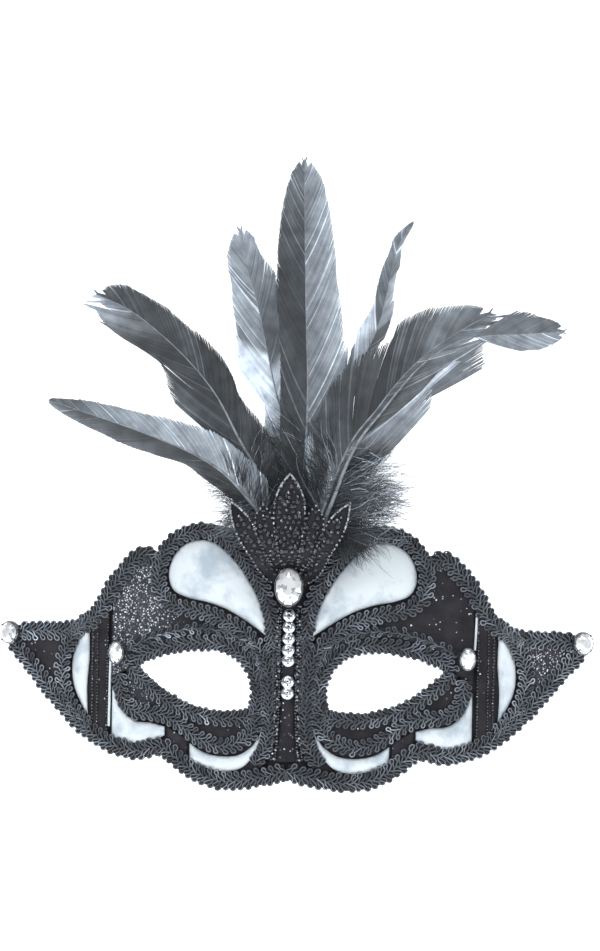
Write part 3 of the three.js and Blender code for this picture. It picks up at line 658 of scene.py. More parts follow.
# ---- Meshes ----
def make_object(name, points, faces, material, smooth=True, colours=None, flat_from=None, scalars=None,
                slot=None, node=None):
    """A mesh object in metres from points in millimetres. faces is an array of triangles or quads, or a
    list of such arrays. Faces from flat_from on are flat shaded. node is the CAD node it replaces."""
    groups = faces if isinstance(faces, list) else [faces]
    groups = [np.asarray(g, dtype=np.int32) for g in groups if len(g)]
    mesh = bpy.data.meshes.new(name)
    points = np.asarray(points, dtype=np.float32) * MM
    mesh.vertices.add(len(points))
    mesh.vertices.foreach_set("co", points.ravel())
    corner = np.concatenate([g.ravel() for g in groups])
    sizes = np.concatenate([np.full(len(g), g.shape[1]) for g in groups])
    starts = np.concatenate([[0], np.cumsum(sizes)[:-1]]).astype(np.int32)
    mesh.loops.add(len(corner))
    mesh.loops.foreach_set("vertex_index", corner)
    mesh.polygons.add(len(sizes))
    mesh.polygons.foreach_set("loop_start", starts)
    flags = np.full(len(sizes), smooth)
    if flat_from is not None:
        flags[flat_from:] = False
    mesh.polygons.foreach_set("use_smooth", flags)
    mesh.update(calc_edges=True)
    mesh.validate()
    for key, values in (("tone", colours), ("glitter", scalars)):
        if values is not None:
            attribute = mesh.color_attributes.new(key, "FLOAT_COLOR", "POINT")
            rgba = np.ones((len(points), 4), dtype=np.float32)
            rgba[:, :3] = values if values.ndim == 2 else values[:, None]
            attribute.data.foreach_set("color", rgba.ravel())
    mesh.materials.append(material)
    piece = bpy.data.objects.new(name, mesh)
    bpy.context.scene.collection.objects.link(piece)
    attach(piece, BODY)
    if node:
        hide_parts(node)
    return piece


def gather(parts):
    """Joins (points, faces) parts into one pair."""
    points, faces, offset = [], [], 0
    for part_points, part_faces in parts:
        points.append(part_points)
        faces.append(np.asarray(part_faces) + offset)
        offset += len(part_points)
    return np.vstack(points), np.vstack(faces)


def sided(part, left):
    """The part itself, or for the left its mirror image with its faces still pointing out."""
    if not left:
        return part
    points, faces = part
    groups = faces if isinstance(faces, list) else [faces]
    turned = [np.asarray(group)[:, ::-1] for group in groups]
    return points * np.array([-1, 1, 1]), turned if isinstance(faces, list) else turned[0]


def ring_faces(rows, sides, closed=False):
    """Quads between neighbouring rings of points. closed also joins the last ring to the first."""
    i = np.arange(rows if closed else rows - 1)[:, None]
    j = np.arange(sides)[None, :]
    following, beside = (i + 1) % rows * sides, (j + 1) % sides
    quads = [i * sides + j, i * sides + beside, following + beside, following + j]
    return np.stack(quads, axis=-1).reshape(-1, 4)


def flat_patch(loop, spacing, holes=()):
    """Triangles that fill a loop of the front view, with points at about this spacing."""
    low, high = loop.min(axis=0), loop.max(axis=0)
    xs = np.arange(low[0], high[0], spacing)
    zs = np.arange(low[1], high[1], spacing * 0.87)
    grid = np.array([(x + (row % 2) * spacing / 2, z) for row, z in enumerate(zs) for x in xs])
    loops = [loop, *holes]
    keep = inside(grid, loop)
    for hole in holes:
        keep &= ~inside(grid, hole)
    grid = grid[keep]
    for each in loops:
        grid = grid[edge_distance(grid, each) > 0.45 * spacing]
    points = [Vector(p) for each in loops for p in each] + [Vector(p) for p in grid]
    edges, start = [], 0
    for each in loops:
        count = len(each)
        edges += [(start + i, start + (i + 1) % count) for i in range(count)]
        start += count
    result = delaunay_2d_cdt(points, edges, [], 0, 1e-5)
    flat = np.array([tuple(v) for v in result[0]])
    triangles = np.array(result[2])
    centres = flat[triangles].mean(axis=1)
    keep = inside(centres, loop)
    for hole in holes:
        keep &= ~inside(centres, hole)
    return flat, triangles[keep]


def border_edges(triangles):
    """Edges that only one triangle uses, in its direction."""
    edges = np.vstack([triangles[:, [0, 1]], triangles[:, [1, 2]], triangles[:, [2, 0]]])
    known = {tuple(e) for e in edges}
    return np.array([e for e in edges if (e[1], e[0]) not in known])


def slab(flat, triangles, rear, front, place=front_point):
    """A closed solid between two depths over a flat patch, which may vary from point to point."""
    x, z = flat[:, 0], flat[:, 1]
    count = len(flat)
    points = np.vstack([place(x, z, front), place(x, z, rear)])
    a, b, c = (flat[triangles[:, k]] for k in range(3))
    area = (b[:, 0] - a[:, 0]) * (c[:, 1] - a[:, 1]) - (b[:, 1] - a[:, 1]) * (c[:, 0] - a[:, 0])
    triangles = np.where((area > 0)[:, None], triangles, triangles[:, ::-1])
    edges = border_edges(triangles)
    sides = np.stack([edges[:, 0], edges[:, 0] + count, edges[:, 1] + count, edges[:, 1]], axis=1)
    return points, [triangles, triangles[:, ::-1] + count, sides]


def cloth_piece(name, loop, rear, front, material, spacing=1.2, holes=(), left=False, density=None):
    """A flat-laid piece of fabric on the mask, replacing the CAD node of the same name."""
    flat, triangles = flat_patch(loop, spacing, holes)
    depth = front(flat) if callable(front) else front
    points, faces = sided(slab(flat, triangles, rear, depth), left)
    scalars = np.tile(density(flat, left), 2) if density else None
    piece = make_object(name + "_fabric", points, faces, material, flat_from=2 * len(triangles),
                        scalars=scalars, node=name)
    a, b, c = (points[:len(flat)][triangles[:, k]] for k in range(3))
    area = 0.5 * np.linalg.norm(np.cross(b - a, c - a), axis=1).sum() * MM * MM
    return piece, area


def tube(points, radius, sides, normals):
    """A round tube along a path, with an even number of sides. normals give its section's first direction."""
    count = len(points)
    along = unit(np.gradient(points, axis=0), 1e-12)
    across = unit(np.cross(along, normals), 1e-12)
    up = np.cross(across, along)
    radius = np.broadcast_to(radius, (count,))[:, None]
    angles = 2 * math.pi * np.arange(sides) / sides
    rings = [points + radius * (math.cos(a) * up + math.sin(a) * across) for a in angles]
    verts = np.stack(rings, axis=1).reshape(-1, 3)
    ends = []
    for ring in (0, count - 1):
        first = ring * sides
        for k in range(1, sides - 1, 2):
            quad = [first, first + k, first + k + 1, first + k + 2]
            ends.append(quad if ring else quad[::-1])
    return verts, np.vstack([ring_faces(count, sides), ends])


# ---- Gimp braid ----
def route_frame(route, closed=False):
    """Arc length, points and side directions along a route in the front view."""
    line = smooth_curve(route, 0.25, closed)
    along = np.gradient(line, axis=0)
    along = unit(along)
    width = 9
    kernel = np.ones(width) / width
    padded = np.vstack([along[:1].repeat(width // 2, axis=0), along, along[-1:].repeat(width // 2, axis=0)])
    along = np.stack([np.convolve(padded[:, k], kernel, "valid") for k in range(2)], axis=1)
    along = unit(along)
    length = np.concatenate([[0], np.cumsum(np.linalg.norm(np.diff(line, axis=0), axis=1))])
    return length, line, np.stack([along[:, 1], -along[:, 0]], axis=1)


def along_route(frame_data, s, n):
    """Front-view positions at distances s along a route and n to its side."""
    length, line, side = frame_data
    s = np.clip(s, 0, length[-1])
    x = np.interp(s, length, line[:, 0]) + n * np.interp(s, length, side[:, 0])
    z = np.interp(s, length, line[:, 1]) + n * np.interp(s, length, side[:, 1])
    return x, z


def cord_painted_light(x, out, which, rng):
    """Lightness round and along a cord: dark, with a painted highlight along its crest that is stronger on the
    loop heads, dimmer near the nose and paler towards the wings.
    """
    crest_highlight = (0.09 + 0.13 * out) * np.exp(rng.normal(0, 0.45, which[-1] + 1))[which]
    # The painted crest highlight is dimmer near the nose and paler towards the wings, as painted light.
    crest_highlight = crest_highlight * np.interp(np.abs(x), (0, 16, 70, 100), (0.6, 1.0, 1.0, 1.6))
    cord_dark = np.full(len(x), 0.015)
    # How much of the painted highlight reaches each side of the cord, from its crest round to its underside.
    highlight_round = (1.0, 0.08, 0.0, 0.0, 0.0, 0.2)
    return np.stack([cord_dark + crest_highlight * share for share in highlight_round], axis=1).ravel()


def loop_strand(frame_data, loops, pitch, reach, side, rng, lift, wild):
    """One cord that runs out to a round loop and back to the middle, once for each pitch. Returns the cord,
    its tones, and the knobs that fill the loops."""
    t = np.arange(loops * LOOP_STEPS + 1) / LOOP_STEPS
    which = np.minimum(t.astype(int), loops - 1)
    jitter = rng.normal(0, 1, (3, loops))
    reach = reach * (1 + 0.05 * wild * jitter[0])
    head = np.maximum(0.24 * reach, 0.68)
    phase = t - which - 0.5
    u = 2 * np.abs(phase)
    # The head is most of a circle. Two legs run from its neck to the middle and lean back along the braid.
    open_angle = math.pi - np.arcsin(NECK_GAP / head)
    angle = open_angle[which] * np.minimum(2 * u, 1)
    neck = (reach - head + head * np.cos(open_angle))[which]
    leg = np.clip(2 * (1 - u), 0, 1)
    on_head = u < 0.5
    n = np.where(on_head, (reach - head)[which] + head[which] * np.cos(angle), leg * (neck + 0.3) - 0.3)
    on_leg = NECK_GAP + (pitch / 2 - NECK_GAP) * (1 - leg) ** 1.2
    local = np.where(on_head, head[which] * np.sin(angle), on_leg)
    out = np.clip((n + 0.3) / (reach[which] + 0.3), 0, 1)
    offset = LOOP_SLANT * reach.mean() * 0.6 + (0.5 * pitch if side < 0 else 0.0)

    def lean(share):
        return LOOP_SLANT * reach.mean() * (1 - (1 - share) ** 2)

    middle = pitch * (which + 0.5 + 0.08 * wild * jitter[1, which] * out)
    s = middle + np.sign(phase) * local - lean(out) + offset
    x, z = along_route(frame_data, s, side * n)
    rise = 0.95 * (1 - out) ** 1.3 + 0.3 * phase + 0.1 * wild * jitter[2, which] * out
    points = front_point(x, z, BRAID_REAR + CORD_RADIUS + lift + rise)
    cord = tube(points, CORD_RADIUS, CORD_SIDES, normal_at(x, z))
    share = (reach - head + 0.3) / (reach + 0.3)
    heads = pitch * (np.arange(loops) + 0.5 + 0.08 * wild * jitter[1]) - lean(share) + offset
    x_knob, z_knob = along_route(frame_data, heads, side * (reach - head))
    knobs = front_point(x_knob, z_knob, BRAID_REAR + 0.3 + lift)
    return cord, cord_painted_light(x, out, which, rng), knobs


def braid_parts(route, width, seed, lift, wild, closed, pitch):
    """Both cords of a braid as one part, their tones, and the knobs inside their loops."""
    rng = np.random.RandomState(seed)
    frame_data = route_frame(route, closed)
    total = frame_data[0][-1]
    loops = max(2, int(round(total / pitch)))
    reach = width / 2 - CORD_RADIUS
    made = [
        loop_strand(frame_data, loops, total / loops, reach, side, rng, lift, wild)
        for side in (1, -1)
    ]
    knobs = beads(np.vstack([places for _, _, places in made]), 0.25 * reach, rng, ball())
    return gather([cord for cord, _, _ in made]), np.concatenate([tones for _, tones, _ in made]), knobs


def core_part(route, width, lift, closed):
    """The flat woven core under the loops."""
    line = smooth_curve(route, 1.2, closed)
    along = np.gradient(line, axis=0)
    along = unit(along)
    side = np.stack([along[:, 1], -along[:, 0]], axis=1)
    rear = BRAID_REAR - 0.25 + lift
    rows = []
    for n, d in ((-0.5, 0), (0.5, 0), (0.42, 0.55), (0.0, 0.75), (-0.42, 0.55)):
        at = line + side * n * width
        rows.append(front_point(at[:, 0], at[:, 1], rear + d))
    verts = np.stack(rows, axis=1).reshape(-1, 3)
    ring = len(rows)
    faces = ring_faces(len(line), ring)[:, [0, 3, 2, 1]]
    ends = []
    for first, back in ((0, True), ((len(line) - 1) * ring, False)):
        for quad in ((0, 1, 2, 3), (0, 3, 4, 4)):
            quad = [first + k for k in quad]
            ends.append(quad[::-1] if back else quad)
    tri = np.array([ends[0], ends[2]])
    return verts, np.vstack([faces, tri])


def add_braid(name, route, width, seed, looks, lift=0.0, wild=1.0, closed=False, pitch=LOOP_PITCH,
              node=True):
    """A run of braid on each side of the mask, its cords over its woven core."""
    for side, left in SIDES:
        base = f"{name}_{side}"
        cords, tones, knobs = braid_parts(route, width, seed + left, lift, wild, closed, pitch)
        cords, knobs = sided(cords, left), sided(knobs, left)
        core = sided(core_part(route, width * 0.76, lift, closed), left)
        make_object(base + "_cords", *cords, looks["gimp"], colours=tones, slot="gimp_braid",
                    node=base if node else None)
        core_points = np.vstack([core[0], knobs[0]])
        core_faces = [core[1], knobs[1] + len(core[0])]
        make_object(base + "_core", core_points, core_faces, looks["core"], slot="gimp_braid")


def add_braids(looks):
    eye = outline(*EYE_RUNS, step=0.6)
    eye_route = grown(eye, 0.5 * BRAID_WIDTH - 0.1)
    start = int(np.argmax(eye_route[:, 0]))
    eye_route = np.roll(eye_route, -start, axis=0)[::6]
    add_braid("edge_braid", EDGE_ROUTE, EDGE_BRAID_WIDTH, 11, looks)
    add_braid("forehead_braid", FOREHEAD_ROUTE, BRAID_WIDTH, 23, looks, lift=0.25)
    add_braid("eye_braid", [tuple(p) for p in eye_route], BRAID_WIDTH, 37, looks, closed=True)
    add_braid("undereye_braid", UNDEREYE_ROUTE, BRAID_WIDTH, 41, looks, lift=0.15)
    add_braid("temple_braid", TEMPLE_ROUTE, BRAID_WIDTH, 53, looks)
    add_braid("brow_braid", BROW_ROUTE, ROW_WIDTH, 67, looks, lift=-0.1, wild=3.0, pitch=3.6)
    add_braid("nose_foot", NOSE_FOOT_ROUTE, 5.6, 71, looks, lift=-0.3, wild=2.4, pitch=2.7, node=False)


# ---- Satin, velvet, shell and lining ----
def outer_loop(inset, step=1.2):
    half = [TOP_RUN, SIDE_RUN, CHIN_RUN]
    runs = half + [flipped(run) for run in reversed(half)]
    return grown(outline(*runs, step=step), -inset)


def eye_loops(margin):
    eye = grown(outline(*EYE_RUNS, step=0.8), margin)
    return eye, mirrored(eye)


def add_body(looks):
    for name, inset, margin, rear, front, look in (
        ("mask_shell", SHELL_INSET, EYE_MARGIN, -1.6, 0.0, "shell"),
        ("lining", SHELL_INSET + 1, EYE_MARGIN + 1, -LINING_BACK, -1.9, "felt"),
        ("base_cloth", SHELL_INSET + 1.3, EYE_MARGIN + 0.3, *CLOTH, "velvet"),
    ):
        holes = eye_loops(margin)
        loop = outer_loop(inset)
        piece, area = cloth_piece(name, loop, rear, front, looks[look], 1.6, holes)
        if name == "mask_shell":
            continue
        size = (loop.max(axis=0) - loop.min(axis=0)) * MM * (1.12, 1.04)
        area = min(area, 0.99 * size[0] * size[1])


def glitter_density(name):
    """How thickly the glitter lies on a velvet piece: more towards the temples and on the wings."""

    def density(flat, left):
        x = flat[:, 0]
        if name == "wing":
            return np.full(len(flat), 1.3 if not left else 0.1)
        if name == "brow":
            outer = np.clip((x - 40) / 14, 0, 1)
            return 0.04 + (1.5 if left else 0.02) * outer
        if name == "undereye":
            return 0.04 + (0.9 if left else 0.06) * np.clip((x - 48) / 6, 0, 1)
        return np.full(len(flat), 0.12)

    return density


def add_velvet(name, runs, looks, sides=SIDES, density=None):
    """A velvet piece on each side, a sheet glued flat over the cloth."""
    for side, left in sides:
        loop = outline(*runs, step=0.8)
        piece, area = cloth_piece(
            f"{name}_{side}" if side else name, loop, *VELVET, looks["velvet"], 1.0, left=left, density=density)
        size = np.maximum((loop.max(axis=0) - loop.min(axis=0)) * MM * 1.08, 0.0101)
        area = min(max(area, 0.3 * size[0] * size[1]), 0.99 * size[0] * size[1])


def add_velvets(looks):
    for name, runs in VELVET_OUTLINES.items():
        add_velvet(name + "_velvet", runs, looks, density=glitter_density(name))
    add_velvet("cheek_tab", CHEEK_TAB, looks, density=glitter_density("tab"))
    add_velvet("nose_velvet", NOSE_STRIP, looks, (("", False),), glitter_density("nose"))


def pillow(loop, height, soft, rng):
    """Depth of a padded panel: a dome that falls to its edge, with a few faint wrinkles."""
    waves = [(rng.uniform(0.12, 0.5, 2), rng.uniform(0, 6.3), rng.uniform(0.02, 0.07)) for _ in range(5)]

    def depth(flat):
        gap = edge_distance(flat, loop)
        dome = height * (1 - np.exp(-gap / soft))
        ripple = sum(a * np.sin(flat @ k + p) for k, p, a in waves)
        return PANEL_REAR + 0.35 + dome + ripple * np.clip(gap / 3, 0, 1)

    return depth


def add_panels(looks):
    """Wadding under satin. Each stands a little proud between the braids."""
    heights = {"forehead": (2.3, 3.2), "temple": (1.3, 1.6), "cheek": (1.5, 2.0), "undereye": (1.5, 1.8)}
    for index, (name, runs) in enumerate(PANEL_OUTLINES.items()):
        height, soft = heights[name]
        for side, left in SIDES:
            node = f"{name}_panel_{side}"
            loop = outline(*runs, step=0.6)
            rng = np.random.RandomState(100 + index * 2 + left)
            depth = pillow(loop, height, soft, rng)
            piece, _ = cloth_piece(node, loop, PANEL_REAR, depth, looks["satin"], 0.8, left=left)


# ---- Beads ----
def ball():
    """Points and triangles of a unit sphere."""
    mesh = bpy.data.meshes.new("ball")
    shape = bmesh.new()
    bmesh.ops.create_icosphere(shape, subdivisions=1, radius=1)
    shape.to_mesh(mesh)
    shape.free()
    points = np.array([tuple(v.co) for v in mesh.vertices])
    faces = np.array([tuple(p.vertices) for p in mesh.polygons])
    bpy.data.meshes.remove(mesh)
    return points, faces


def random_turns(rng, count):
    """Random rotation matrices."""
    q = rng.normal(size=(count, 4))
    q = unit(q)
    w, x, y, z = q.T
    rows = [
        [1 - 2 * (y * y + z * z), 2 * (x * y - z * w), 2 * (x * z + y * w)],
        [2 * (x * y + z * w), 1 - 2 * (x * x + z * z), 2 * (y * z - x * w)],
        [2 * (x * z - y * w), 2 * (y * z + x * w), 1 - 2 * (x * x + y * y)],
    ]
    return np.array(rows).transpose(2, 0, 1)


def scattered(shape, turns, sizes, places):
    """Copies of a shape, each turned, sized and put in its place."""
    points, faces = shape
    verts = np.einsum("nij,kj->nki", turns, points) * np.reshape(sizes, (-1, 1, 1)) + places[:, None, :]
    index = faces[None] + (np.arange(len(places)) * len(points))[:, None, None]
    return verts.reshape(-1, 3), index.reshape(-1, faces.shape[1])


def beads(places, radius, rng, shape):
    """Round beads at these points, each turned at random so that its facets catch light differently."""
    turns = random_turns(rng, len(places))
    return scattered(shape, turns, radius * rng.uniform(0.9, 1.1, len(places)), places)


def basis(normals, spin):
    """Rotation matrices whose third column is the normal, turned about it by spin."""
    helper = np.where(np.abs(normals[:, 2:3]) < 0.9, [[0, 0, 1.0]], [[1.0, 0, 0]])
    u = np.cross(helper, normals)
    u = unit(u)
    v = np.cross(normals, u)
    c, s = np.cos(spin)[:, None], np.sin(spin)[:, None]
    return np.stack([c * u + s * v, -s * u + c * v, normals], axis=2)


def sequin_shape(sides):
    """A domed sequin of unit radius with a hole in its middle, closed, facing +Z."""
    thick = 0.07
    dome = [(0.12, 0.44), (0.4, 0.41), (0.66, 0.31), (0.86, 0.17), (1.0, 0.0)]
    rings = dome + [(radius, height - thick) for radius, height in reversed(dome)]
    angles = 2 * math.pi * np.arange(sides) / sides
    verts = [(radius * math.cos(a), radius * math.sin(a), height) for radius, height in rings for a in angles]
    return np.array(verts), ring_faces(len(rings), sides, closed=True)[:, [0, 3, 2, 1]]


def bead_row(route, spacing, radius, depth, rng, shape, jitter=0.12):
    line = smooth_curve(route, spacing)
    line = line + rng.normal(0, jitter, line.shape) * radius
    places = front_point(line[:, 0], line[:, 1], depth + rng.normal(0, 0.1, len(line)) * radius)
    return beads(places, radius, rng, shape)


def shifted(route, offset):
    return [(x + offset, z) for x, z in route]


def add_bead_trims(looks):
    """Two columns of seed beads on each side of the nose, and three along each temple band."""
    shape = ball()
    for side, left in SIDES:
        rng = np.random.RandomState(7 + left)
        columns = [bead_row(shifted(NOSE_BEAD_LINE, o), 1.2, 0.5, 3.3, rng, shape) for o in (-0.7, 0.8)]
        # The sparkle beads are pale beads that stand for painted glints on the black columns.
        sparkle = bead_row(NOSE_BEAD_LINE, 1.9, 0.46, 3.6, rng, shape, 1.2)
        trim = f"nose_bead_trim_{side}"
        columns = sided(gather(columns), left)
        make_object(trim + "_beads", *columns, looks["bead"], False, slot="bead_trim", node=trim)
        make_object(trim + "_glints", *sided(sparkle, left), looks["bugle"], False, slot="bead_trim")
        rows = [bead_row(shifted(TEMPLE_BAND, o), 1.25, 0.46, 2.75, rng, shape) for o in (-3.0, 0.9, 2.9)]
        rows = sided(gather(rows), left)
        make_object(f"temple_band_{side}_beads", *rows, looks["bead"], False, slot="bead_trim")
        add_band_ribbon(side, left, looks)


def add_band_ribbon(side, left, looks):
    """The ribbon under the beads of a temple band."""
    half = 3.4
    x, top = TEMPLE_BAND[0]
    bottom = TEMPLE_BAND[-1][1]
    corners = [(x - half, top), (x + half, top), (x + half, bottom), (x - half, bottom), (x - half, top)]
    flat, triangles = flat_patch(outline(*zip(corners, corners[1:]), step=1.0), 1.0)
    points, faces = sided(slab(flat, triangles, 1.95, 2.35), left)
    band = make_object(
        f"temple_band_{side}_ribbon", points, faces, looks["velvet"], flat_from=2 * len(triangles),
        scalars=np.full(len(points), 0.05), slot="bead_trim", node=f"temple_band_{side}")


def add_piping(looks):
    """The satin edge that shows as a thin white line beside each temple band."""
    routes = ([(70.9, 21), (70.6, 12), (70.3, 7)], [(70.4, 3), (70.6, -12), (70.8, -25)])
    for (side, left), route in zip(SIDES, routes):
        line = smooth_curve(route, 1.0)
        points = front_point(line[:, 0], line[:, 1], 2.1)
        pipe = tube(points, 0.5, 8, normal_at(line[:, 0], line[:, 1]))
        make_object(f"temple_piping_{side}", *sided(pipe, left), looks["satin"], slot="silver_satin")


def add_nose_sequins(looks):
    rng = np.random.RandomState(5)
    z = np.array(SEQUIN_HEIGHTS, float)
    x = np.zeros_like(z)
    places = front_point(x, z, 2.6)
    tilt = normal_at(x, z) + np.array([0, 0, 0.12])
    tilt = unit(tilt)
    shape = sequin_shape(24)
    cups = scattered(shape, basis(tilt, rng.uniform(0, 6, len(z))), np.full(len(z), 2.75), places)
    make_object("nose_sequins_cups", *cups, looks["mirror"], slot="sequins", node="nose_sequins")
    seeds = beads(front_point(x, z - 1.2, 3.5), 0.5, rng, ball())
    make_object("nose_sequins_seeds", *seeds, looks["bead"], smooth=False, slot="sequins")


# ---- Applique ----
APPLIQUE_LOW = 4.6
APPLIQUE_FRONT = 11.6
APPLIQUE_FROM = 34.0
APPLIQUE_TO = 46.0


def applique_point(x, z, forward):
    low = surface_point(x, z, APPLIQUE_LOW + forward)
    high = np.stack([x, 0.004 * x * x - APPLIQUE_FRONT - forward, z], axis=-1)
    share = np.clip((z - APPLIQUE_FROM) / (APPLIQUE_TO - APPLIQUE_FROM), 0, 1)
    share = (share * share * (3 - 2 * share))[..., None]
    return low * (1 - share) + high * share


def applique_normal(x, z):
    h = 0.2
    along_x = applique_point(x + h, z, 0.0) - applique_point(x - h, z, 0.0)
    along_z = applique_point(x, z + h, 0.0) - applique_point(x, z - h, 0.0)
    normal = np.cross(along_x, along_z)
    return unit(normal)


def applique_row(route, spacing, radius, rng, shape, forward=1.0):
    line = smooth_curve(route, spacing)
    line = line + rng.normal(0, 0.1, line.shape) * radius
    places = applique_point(line[:, 0], line[:, 1], forward)
    return beads(places, radius, rng, shape)


def bugles(route, length, radius, forward):
    """Tube beads laid end to end along a route."""
    line = smooth_curve(route, length)
    parts = []
    for a, b in zip(line, line[1:]):
        share = np.array([0.06, 0.1, 0.9, 0.94])[:, None]
        path = a * (1 - share) + b * share
        points = applique_point(path[:, 0], path[:, 1], forward)
        normals = applique_normal(path[:, 0], path[:, 1])
        parts.append(tube(points, np.array([0.6, 1, 1, 0.6]) * radius, 6, normals))
    return parts


def applique_loop():
    runs = list(APPLIQUE_HALF) + [flipped(run) for run in reversed(APPLIQUE_HALF)]
    return outline(*runs, step=0.7)


def add_applique(looks):
    rng = np.random.RandomState(19)
    loop = applique_loop()
    flat, triangles = flat_patch(loop, 1.0)
    points, faces = slab(flat, triangles, 0.0, 0.5, applique_point)
    backing = make_object("applique_backing", points, faces, looks["velvet"], flat_from=2 * len(triangles),
                          slot="applique_beads", node="applique")

    # Sequins over the field, each held by a seed bead.
    spacing = 2.2
    grid = []
    for row, height in enumerate(np.arange(31, 74, spacing * 0.87)):
        for place in np.arange(-24, 25, spacing):
            grid.append((place + (row % 2) * spacing / 2, height))
    grid = np.array(grid) + rng.normal(0, 0.35, (len(grid), 2))
    grid = grid[inside(grid, loop)]
    grid = grid[edge_distance(grid, loop) > 1.5]
    places = applique_point(grid[:, 0], grid[:, 1], 0.75)
    tilt = applique_normal(grid[:, 0], grid[:, 1]) + rng.normal(0, 0.3, (len(grid), 3))
    tilt = unit(tilt)
    radius = rng.uniform(0.8, 1.15, len(grid))
    field = scattered(sequin_shape(8), basis(tilt, rng.uniform(0, 6, len(grid))), radius, places)
    make_object("applique_sequins", *field, looks["sequin"], smooth=False, slot="applique_beads")

    shape = ball()
    seeds = [beads(applique_point(grid[:, 0], grid[:, 1], 1.3), 0.3, rng, shape)]
    # bright gathers pale beads that are painted glints along the leaf outlines.
    bright = []
    for runs in (APPLIQUE_HALF, [flipped(r) for r in APPLIQUE_HALF]):
        for run in runs:
            seeds.append(applique_row(run, 2.1, 0.62, rng, shape))
            bright.append(applique_row(run, 1.9, 0.42, rng, shape, 1.4))
    for sign in (1, -1):
        for route in ([(0, 33), (4, 44), (6, 55)], [(1, 33), (8.6, 43), (12.6, 51)]):
            seeds.append(applique_row([(sign * x, z) for x, z in route], 1.5, 0.7, rng, shape, 1.3))
    make_object("applique_seed_beads", *gather(seeds), looks["bead"], smooth=False, slot="applique_beads")

    # A few pale seeds among the sequins are painted glints, as are the pale outline beads, and bugle beads
    # outline the leaf tips.
    few = grid[rng.random(len(grid)) < 0.2]
    bright.append(beads(applique_point(few[:, 0], few[:, 1], 1.7), 0.38, rng, shape))
    make_object("applique_glints", *gather(bright), looks["bugle"], smooth=False, slot="applique_beads")
    rods = []
    for sign in (1, -1):
        for route in (
            [(5.2, 65.4), (3.2, 70.2), (0.2, 74)],
            [(15.6, 57.2), (19.2, 60.8), (22.8, 63.2)],
            [(21, 53), (22.4, 58), (22.9, 63)],
        ):
            rods += bugles([(sign * x, z) for x, z in route], 3.4, 0.4, 1.5)
    make_object("applique_bugles", *gather(rods), looks["bugle"], smooth=True, slot="applique_beads")


# ---- Rhinestones ----
STONES = {
    "centre": {"x": 0.0, "z": 30.5, "width": 10.0, "height": 14.0, "deep": 4.2, "depth": 9.0},
    "temple": {"x": 67.2, "z": 3.7, "width": 6.0, "height": 8.0, "deep": 2.8, "depth": 4.7},
    "tip": {"x": 111.0, "z": 9.8, "width": 8.0, "height": 8.0, "deep": 3.2, "depth": 4.7},
}
SETTING_FLOOR = 0.7


def brilliant(width, height, deep, base):
    """A faceted stone with an oval girdle: a table, star and kite facets, and a flat back."""
    rings = [(0.52, 0.96, 0.5), (0.8, 0.68, 0.0), (1.0, 0.4, 0.5), (0.98, 0.3, 0.5), (0.6, 0.0, 0.5)]
    sides = 12
    verts = []
    for radius, level, shift in rings:
        for j in range(sides):
            angle = 2 * math.pi * (j + shift) / sides
            x = radius * math.cos(angle) * width / 2
            y = radius * math.sin(angle) * height / 2
            verts.append((x, y, base + level * deep))
    faces = []
    for i in range(len(rings) - 1):
        shift = rings[i + 1][2] - rings[i][2]
        for j in range(sides):
            a, b = i * sides + j, i * sides + (j + 1) % sides
            c, d = (i + 1) * sides + j, (i + 1) * sides + (j + 1) % sides
            if shift < 0:
                faces += [(a, d, b), (a, c, d)]
            else:
                faces += [(a, c, b), (b, c, d)]
    last = (len(rings) - 1) * sides
    for j in range(1, sides - 1):
        faces.append((0, j, j + 1))
        faces.append((last, last + j + 1, last + j))
    return np.array(verts), np.array(faces)


def placed_stone(part, stone, left):
    """Carries a stone's points to its place on the mask, +Z of the stone along the surface normal."""
    x, z = np.array([stone["x"]]), np.array([stone["z"]])
    normal = normal_at(x, z)[0]
    side = np.cross(np.array([0, 0, 1.0]), -normal)
    side /= np.linalg.norm(side)
    up = np.cross(normal, side)
    centre = front_point(x, z, stone["depth"])[0]
    points, faces = part
    points = centre + points[:, :1] * side + points[:, 1:2] * up + points[:, 2:3] * normal
    return sided((points, faces), left)


def ring_part(width, height, profile, sides=40):
    """A closed oval ring. profile lists (growth of the radius, height)."""
    verts = []
    for grow, level in profile:
        for j in range(sides):
            angle = 2 * math.pi * j / sides
            verts.append((math.cos(angle) * (width / 2 + grow), math.sin(angle) * (height / 2 + grow), level))
    return np.array(verts), ring_faces(len(profile), sides, closed=True)


def prongs(width, height, deep, count):
    """Bent claws that hold the stone's edge."""
    parts = []
    for k in range(count):
        angle = 2 * math.pi * (k + 0.5) / count
        c, s = math.cos(angle), math.sin(angle)
        path = []
        for grow, level in ((0.4, 0.3), (0.4, 0.3 * deep), (0.15, 0.62 * deep), (-0.6, 0.8 * deep + 0.2)):
            path.append((c * (width / 2 + grow), s * (height / 2 + grow), SETTING_FLOOR + level))
        path = np.array(path)
        normals = np.tile([-s, c, 0.0], (len(path), 1))
        parts.append(tube(path, np.array([0.28, 0.28, 0.26, 0.16]), 6, normals))
    return parts


